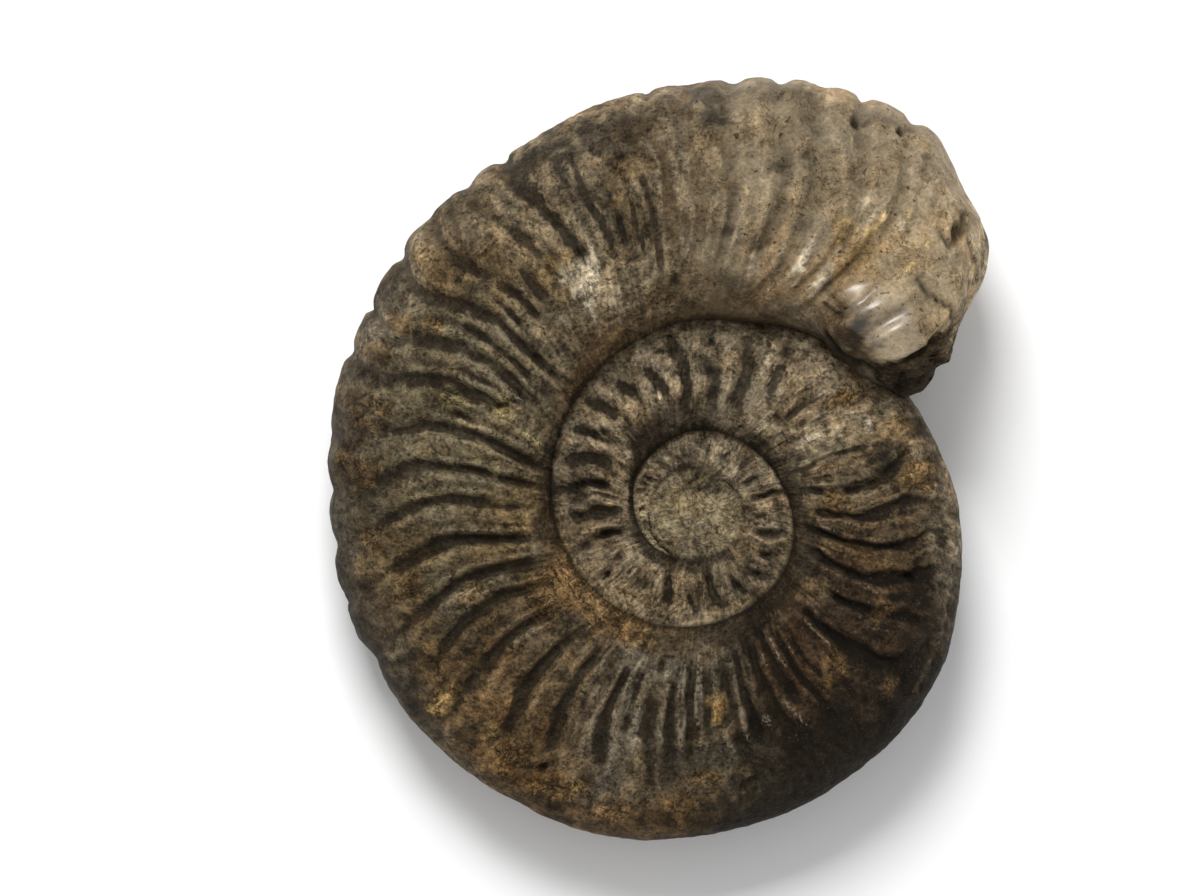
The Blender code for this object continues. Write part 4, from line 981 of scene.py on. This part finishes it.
def mouth_finish(points, down, across, shadow, lip_finish):
    """The finish of the mouth's face: matrix, light above and dark by the old whorl, partly as
    painted light and painted shade, and darker in undercuts as painted shadow, which changes over
    to the shell's own finish along the ragged lip. Just below the lip the upper face is brighter
    still, as painted light."""
    darker = 1 - ramp(0.38, 0.62, across + 0.12 * rough(points, *MOUTH_PATCHES))
    base = blend(np.tile(MOUTH_TONES[0], (len(points), 1)), MOUTH_TONES[1], darker)
    upper = ramp(0.35, 0.6, across)
    lip = down + (0.1 + 0.2 * upper) * rough(points, *MOUTH_LIP)
    rest = matrix_finish(points, base, MOUTH_MATRIX_SEED)
    rest[:, TONES] *= (1 - 0.7 * shadow)[:, None]
    finish = blend(rest, lip_finish, 1 - ramp(0.03, 0.14 + 0.6 * upper, lip))
    # Painted light: the upper face brightened just below the lip.
    finish[:, TONES] *= (1 + 0.7 * upper * ramp(0.0, 0.25, down))[:, None]
    return finish


def mouth_foot(column, row, side):
    """The lowest strip of the mouth's face on the under side, which changes over to the rows
    of the upper side."""
    beyond = row - ROWS_ROUND_EDGE
    edge_rows = rows_for(side, ROWS_ROUND_EDGE)
    rows = np.where(beyond < 0, np.round(row * edge_rows / ROWS_ROUND_EDGE),
                    edge_rows + np.round(beyond * rows_for(side, ROWS_ON_FLANK) / ROWS_ON_FLANK))
    near = mouth_face(np.full_like(row, STEPS_DOWN_MOUTH) - 1 + column, rows, side)
    foot = mouth_face(np.full_like(row, STEPS_DOWN_MOUTH), row, 0)
    fine = ((column == 1) & (beyond > 0))[:, None]
    return tuple(np.where(fine, a, b) for a, b in zip(foot, near))


def heart(column, row, side):
    """The low table of matrix inside the last seam. Its height rises from the seam by one less a
    cube, with a small step across it, which a cloud bends, lumps, and a dark crack along part of
    the step, partly painted shade in it."""
    first = column_at(HEART_TURN - FULL_TURN)
    rim = inner_whorls(column + first, np.zeros_like(row), side)[0]
    share = (row / rows_for(side, ROWS_INTO_HEART))[:, None]
    middle = np.array([*HEART_CENTRE, rim[:, 2].mean() + HEART_RISE])
    points = rim + np.column_stack([share, share, 1 - (1 - share) ** 3]) * (middle - rim)
    inside = ramp(0.0, 0.3, share[:, 0])
    off_step = points[:, 1] - HEART_STEP_AT - 0.6 * cloud(points, *HEART_BENDS)
    points[:, 2] += HEART_STEP * ramp(-0.3, 0.3, off_step) * inside
    points[:, 2] += HEART_LUMPS * rough(points, *HEART_GROUND) * inside
    finish = matrix_finish(points, HEART_SAND, HEART_MATRIX_SEED)
    # A dark line along part of the step: a crack, partly painted shade in it.
    crack = bell(off_step / 0.3) * bell(points[:, 0] / 3.6) * inside
    finish[:, TONES] *= (1 - 0.75 * crack)[:, None]
    return points, finish


def leant(size):
    """The lean of the coil, as a square matrix of this size."""
    axis = math.radians(LEAN_TOWARDS + 90.0)
    return Matrix.Rotation(math.radians(LEAN), size, (math.cos(axis), math.sin(axis), 0.0))


def lay_down(points):
    """From millimetres about the coil's axis to metres where the shell lies: leant over, set
    over its place, and worn flat at the ground."""
    laid = points @ np.array(leant(3)).T + np.array([*COIL_AXIS, COIL_HEIGHT])
    laid[:, 2] = np.maximum(laid[:, 2], 0.0)
    return laid * MM


def welded(points, quads):
    """Points that meet made one, and the quads as triangles that have three corners each."""
    first, where = np.unique(np.round(points / WELD_STEP).astype(np.int64), axis=0,
                             return_index=True, return_inverse=True)[1:]
    quads = where.ravel()[quads]
    tris = np.concatenate([quads[:, [0, 1, 2]], quads[:, [0, 2, 3]]])
    whole = (tris[:, 0] != tris[:, 1]) & (tris[:, 1] != tris[:, 2]) & (tris[:, 2] != tris[:, 0])
    return first, tris[whole]


def build_skin():
    """All grids of both sides welded into one closed skin: its points with their finish, and
    its triangles."""
    skin = Skin()
    for side in (0, 1):
        flank = rows_for(side, ROWS_ON_FLANK) + rows_for(side, ROWS_ROUND_EDGE)
        skin.add(COLUMNS_PER_TURN, flank, last_whorl, side)
        skin.add(1, rows_for(side, ROWS_ON_FLANK), inner_start, side)
        skin.add(column_at(HEART_TURN) - 1, rows_for(side, ROWS_INSIDE), inner_whorls, side, first=1)
        skin.add(STEPS_DOWN_MOUTH - side, flank, mouth_face, side, coilwise=False)
        skin.add(COLUMNS_PER_TURN, rows_for(side, ROWS_INTO_HEART), heart, side, coilwise=False)
    skin.add(1, ROWS_ON_FLANK + ROWS_ROUND_EDGE, mouth_foot, 1, coilwise=False)
    parts = np.concatenate(skin.parts)
    first, tris = welded(parts[:, :3], np.concatenate(skin.faces))
    return parts[first], tris


def add_attribute(mesh, name, kind, field, values):
    """Values of the points, which the material reads by this name."""
    layer = mesh.attributes.new(name, kind, "POINT")
    layer.data.foreach_set(field, values.astype(np.float32).ravel())


def make_shell():
    """The skin as one mesh, laid as the shell lies, with its finish as attributes."""
    parts, tris = build_skin()
    mesh = bpy.data.meshes.new("ammonite_shell")
    mesh.vertices.add(len(parts))
    mesh.vertices.foreach_set("co", lay_down(parts[:, :3]).astype(np.float32).ravel())
    mesh.loops.add(3 * len(tris))
    mesh.loops.foreach_set("vertex_index", tris.astype(np.int32).ravel())
    mesh.polygons.add(len(tris))
    mesh.polygons.foreach_set("loop_start", np.arange(0, 3 * len(tris), 3, dtype=np.int32))
    mesh.update(calc_edges=True)
    mesh.shade_smooth()
    opaque = np.ones(len(parts))
    for name, tone in (("shell_tone", parts[:, 3:6]), ("crust_tone", parts[:, 6:9])):
        add_attribute(mesh, name, "FLOAT_COLOR", "color", np.column_stack([tone, opaque]))
    for name, values in zip(FINISH_VALUES, parts[:, 9:].T):
        add_attribute(mesh, name, "FLOAT", "value", values)
    shell = bpy.data.objects.new("ammonite_shell", mesh)
    bpy.context.scene.collection.objects.link(shell)
    return shell


# ---------------------------------------------------------------- materials
def stone_material():
    """Old shell and crust. The two painted tones are mixed where the crust's cover and a coarse
    noise add up to more than one, and then broken up by sandy grains, blotches, pale grain and
    painted highlight on the pale crests, glints, warm clouds, veins, warts and pores, each from a
    noise. The grain weakens on bare shell. The roughness falls with the gloss and the highest
    gloss has a thin glaze, and the grains, pores, veins, warts and blotches make the bump."""
    material = bpy.data.materials.new("fossil_stone")
    material.use_nodes = True
    nodes, links = material.node_tree.nodes, material.node_tree.links
    shader = nodes["Principled BSDF"]
    place = nodes.new("ShaderNodeTexCoord").outputs["Object"]

    def attribute(name, output):
        node = nodes.new("ShaderNodeAttribute")
        node.attribute_name = name
        return node.outputs[output]

    def noise(scale, detail, roughness=0.6, distortion=0.0):
        node = nodes.new("ShaderNodeTexNoise")
        links.new(place, node.inputs["Vector"])
        node.inputs["Scale"].default_value = scale
        node.inputs["Detail"].default_value = detail
        node.inputs["Roughness"].default_value = roughness
        node.inputs["Distortion"].default_value = distortion
        return node.outputs["Fac"]

    def spread(value, low, high, to_low=0.0, to_high=1.0):
        node = nodes.new("ShaderNodeMapRange")
        node.interpolation_type = "SMOOTHSTEP"
        links.new(value, node.inputs["Value"])
        for name, number in zip(("From Min", "From Max", "To Min", "To Max"),
                                (low, high, to_low, to_high)):
            node.inputs[name].default_value = number
        return node.outputs["Result"]

    def combine(operation, first, second):
        node = nodes.new("ShaderNodeMath")
        node.operation = operation
        for socket, value in zip(node.inputs, (first, second)):
            if isinstance(value, float):
                socket.default_value = value
            else:
                links.new(value, socket)
        return node.outputs["Value"]

    def mix(kind, factor, first, second):
        node = nodes.new("ShaderNodeMix")
        node.data_type = "RGBA"
        node.blend_type = kind
        for name, value in (("Factor_Float", factor), ("A_Color", first), ("B_Color", second)):
            socket = next(s for s in node.inputs if s.identifier == name)
            if isinstance(value, (float, tuple)):
                socket.default_value = value
            else:
                links.new(value, socket)
        return next(s for s in node.outputs if s.identifier == "Result_Color")

    def times(first, second):
        return combine("MULTIPLY", first, second)

    def plus(first, second):
        return combine("ADD", first, second)

    def minus(first, second):
        return combine("SUBTRACT", first, second)

    def lines(value, width):
        """1 on the lines where a noise passes a half, and 0 beyond this width."""
        return spread(combine("ABSOLUTE", minus(value, 0.5), 0.0), 0.0, width, 1.0, 0.0)

    coarse = noise(430.0, 8.0, 0.68, 0.3)
    fine = noise(1500.0, 8.0, 0.72)
    specks = noise(2900.0, 2.0, 0.5)
    broad = noise(150.0, 3.0, 0.55)
    blotch = noise(270.0, 6.0, 0.66, 0.7)
    gloss = attribute("gloss", "Fac")
    warty = attribute("warty", "Fac")
    cover = spread(plus(attribute("cover", "Fac"), times(coarse, 1.6)), 1.0, 1.55)
    uneven = times(attribute("grain", "Fac"), spread(cover, 0.0, 1.0, 0.68, 1.0))

    def grained(low, high):
        """From low where the stone is even to high where it is all grain."""
        return spread(uneven, 0.0, 1.0, low, high)

    light = plus(times(minus(fine, 0.5), 4.6), times(minus(coarse, 0.5), 4.0))
    light = combine("MAXIMUM", plus(times(light, grained(0.3, 1.0)), 1.0), 0.22)
    # Pale grain on the crests, partly a painted highlight along them.
    pale_grain_and_highlight = spread(plus(attribute("pale", "Fac"), times(fine, 3.0)), 2.10, 2.60)
    glint = times(spread(specks, 0.65, 0.72), grained(0.02, 0.10))
    vein = times(lines(noise(240.0, 4.0, 0.6, 1.2), 0.016), spread(broad, 0.46, 0.58))
    wart = times(lines(noise(420.0, 3.0, 0.5, 0.9), 0.055), warty)
    pore = spread(noise(760.0, 3.0, 0.6), 0.645, 0.70)
    colour = mix("MIX", cover, attribute("shell_tone", "Color"), attribute("crust_tone", "Color"))
    for kind, weight, tone in (("MULTIPLY", 1.0, light),
                               ("MULTIPLY", times(spread(blotch, 0.54, 0.61), uneven), BLOTCH_DARK),
                               ("MULTIPLY", times(spread(blotch, 0.44, 0.37), uneven), BLOTCH_LIGHT),
                               ("MIX", times(pale_grain_and_highlight, 0.85), PALE_GRAIN_AND_HIGHLIGHT),
                               ("SCREEN", glint, GLINT),
                               ("MULTIPLY", spread(broad, 0.45, 0.62, 0.0, 0.45), WARM_CLOUD),
                               ("MULTIPLY", times(vein, 0.7), VEIN),
                               ("MULTIPLY", times(wart, 0.8), WART_GROOVE),
                               ("MULTIPLY", minus(warty, wart), WART_TOP),
                               ("MULTIPLY", times(pore, 0.75), PORE)):
        colour = mix(kind, weight, colour, tone)
    links.new(colour, shader.inputs["Base Color"])

    dull = plus(spread(gloss, 0.0, 1.0, 0.78, 0.26), times(uneven, 0.16))
    links.new(plus(dull, times(minus(fine, 0.5), 0.5)), shader.inputs["Roughness"])
    links.new(spread(gloss, 0.80, 1.0, 0.0, 0.9), shader.inputs["Coat Weight"])
    shader.inputs["Coat Roughness"].default_value = 0.36
    shader.inputs["Coat IOR"].default_value = 1.7
    shader.inputs["Specular IOR Level"].default_value = 0.22
    shader.inputs["Specular Tint"].default_value = SHINE_TINT

    height = plus(times(fine, grained(0.15, 1.0)), times(coarse, grained(0.30, 1.0)))
    for part, depth in ((pore, 0.3), (vein, 0.15), (wart, 0.5), (times(blotch, uneven), 1.2)):
        height = minus(height, times(part, depth))
    bump = nodes.new("ShaderNodeBump")
    bump.inputs["Strength"].default_value = 0.85
    bump.inputs["Distance"].default_value = 0.0012
    links.new(height, bump.inputs["Height"])
    links.new(bump.outputs["Normal"], shader.inputs["Normal"])
    return material


# ---------------------------------------------------------------- stage
def coil_matrix():
    """Where the coil lies, with the height along its axis as z."""
    return Matrix.Translation(Vector((*COIL_AXIS, COIL_HEIGHT)) * MM) @ leant(4)


def make_camera():
    """A long lens on the coil's axis, set off so that the coil sits right of the middle."""
    data = bpy.data.cameras.new("camera")
    data.sensor_width = SENSOR_WIDTH
    data.lens = SENSOR_WIDTH * CAMERA_DISTANCE / (FRAME_WIDTH * PIXEL)
    data.clip_start = 0.01
    camera = bpy.data.objects.new("camera", data)
    right = (FRAME_WIDTH / 2 - COIL_PIXEL[0]) * PIXEL
    up = (COIL_PIXEL[1] - FRAME_HEIGHT / 2) * PIXEL
    offset = Vector((right, up, CAMERA_DISTANCE)) * MM
    camera.matrix_world = coil_matrix() @ Matrix.Translation(offset)
    bpy.context.scene.collection.objects.link(camera)
    bpy.context.scene.camera = camera


def make_light(name, position, size, power):
    """A square light of this size in metres and power in watts that looks at the middle."""
    data = bpy.data.lights.new(name, "AREA")
    data.size = size
    data.energy = power
    light = bpy.data.objects.new(name, data)
    light.location = position
    light.rotation_euler = (-Vector(position)).to_track_quat("-Z", "Y").to_euler()
    bpy.context.scene.collection.objects.link(light)


def make_floor():
    """A wide pale square just under the shell, which isn't part of it."""
    mesh = bpy.data.meshes.new("floor")
    corners = [(x * FLOOR_HALF, y * FLOOR_HALF, -FLOOR_DROP)
               for x, y in ((-1, -1), (1, -1), (1, 1), (-1, 1))]
    mesh.from_pydata(corners, [], [(0, 1, 2, 3)])
    floor = bpy.data.objects.new("floor", mesh)
    bpy.context.scene.collection.objects.link(floor)
    material = bpy.data.materials.new("pale_floor")
    material.use_nodes = True
    shader = material.node_tree.nodes["Principled BSDF"]
    shader.inputs["Base Color"].default_value = FLOOR_TONE
    shader.inputs["Roughness"].default_value = 0.9
    mesh.materials.append(material)


def make_world():
    """An even white sky."""
    world = bpy.data.worlds.new("studio")
    bpy.context.scene.world = world
    world.use_nodes = True
    background = world.node_tree.nodes["Background"]
    background.inputs["Color"].default_value = SKY_TONE
    background.inputs["Strength"].default_value = SKY_STRENGTH


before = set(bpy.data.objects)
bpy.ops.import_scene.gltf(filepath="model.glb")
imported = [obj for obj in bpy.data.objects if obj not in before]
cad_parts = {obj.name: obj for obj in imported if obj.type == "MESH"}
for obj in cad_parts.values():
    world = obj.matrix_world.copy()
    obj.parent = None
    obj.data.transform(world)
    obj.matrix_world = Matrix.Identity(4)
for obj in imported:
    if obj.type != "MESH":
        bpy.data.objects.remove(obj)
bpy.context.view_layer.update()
bpy.context.scene.view_settings.view_transform = "Standard"
shell = make_shell()
shell.data.materials.append(stone_material())
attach(shell, "root")
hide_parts("ammonite")
make_floor()
make_world()
make_light("key", KEY_PLACE, KEY_SIZE, KEY_POWER)
make_camera()
bpy.context.view_layer.update()
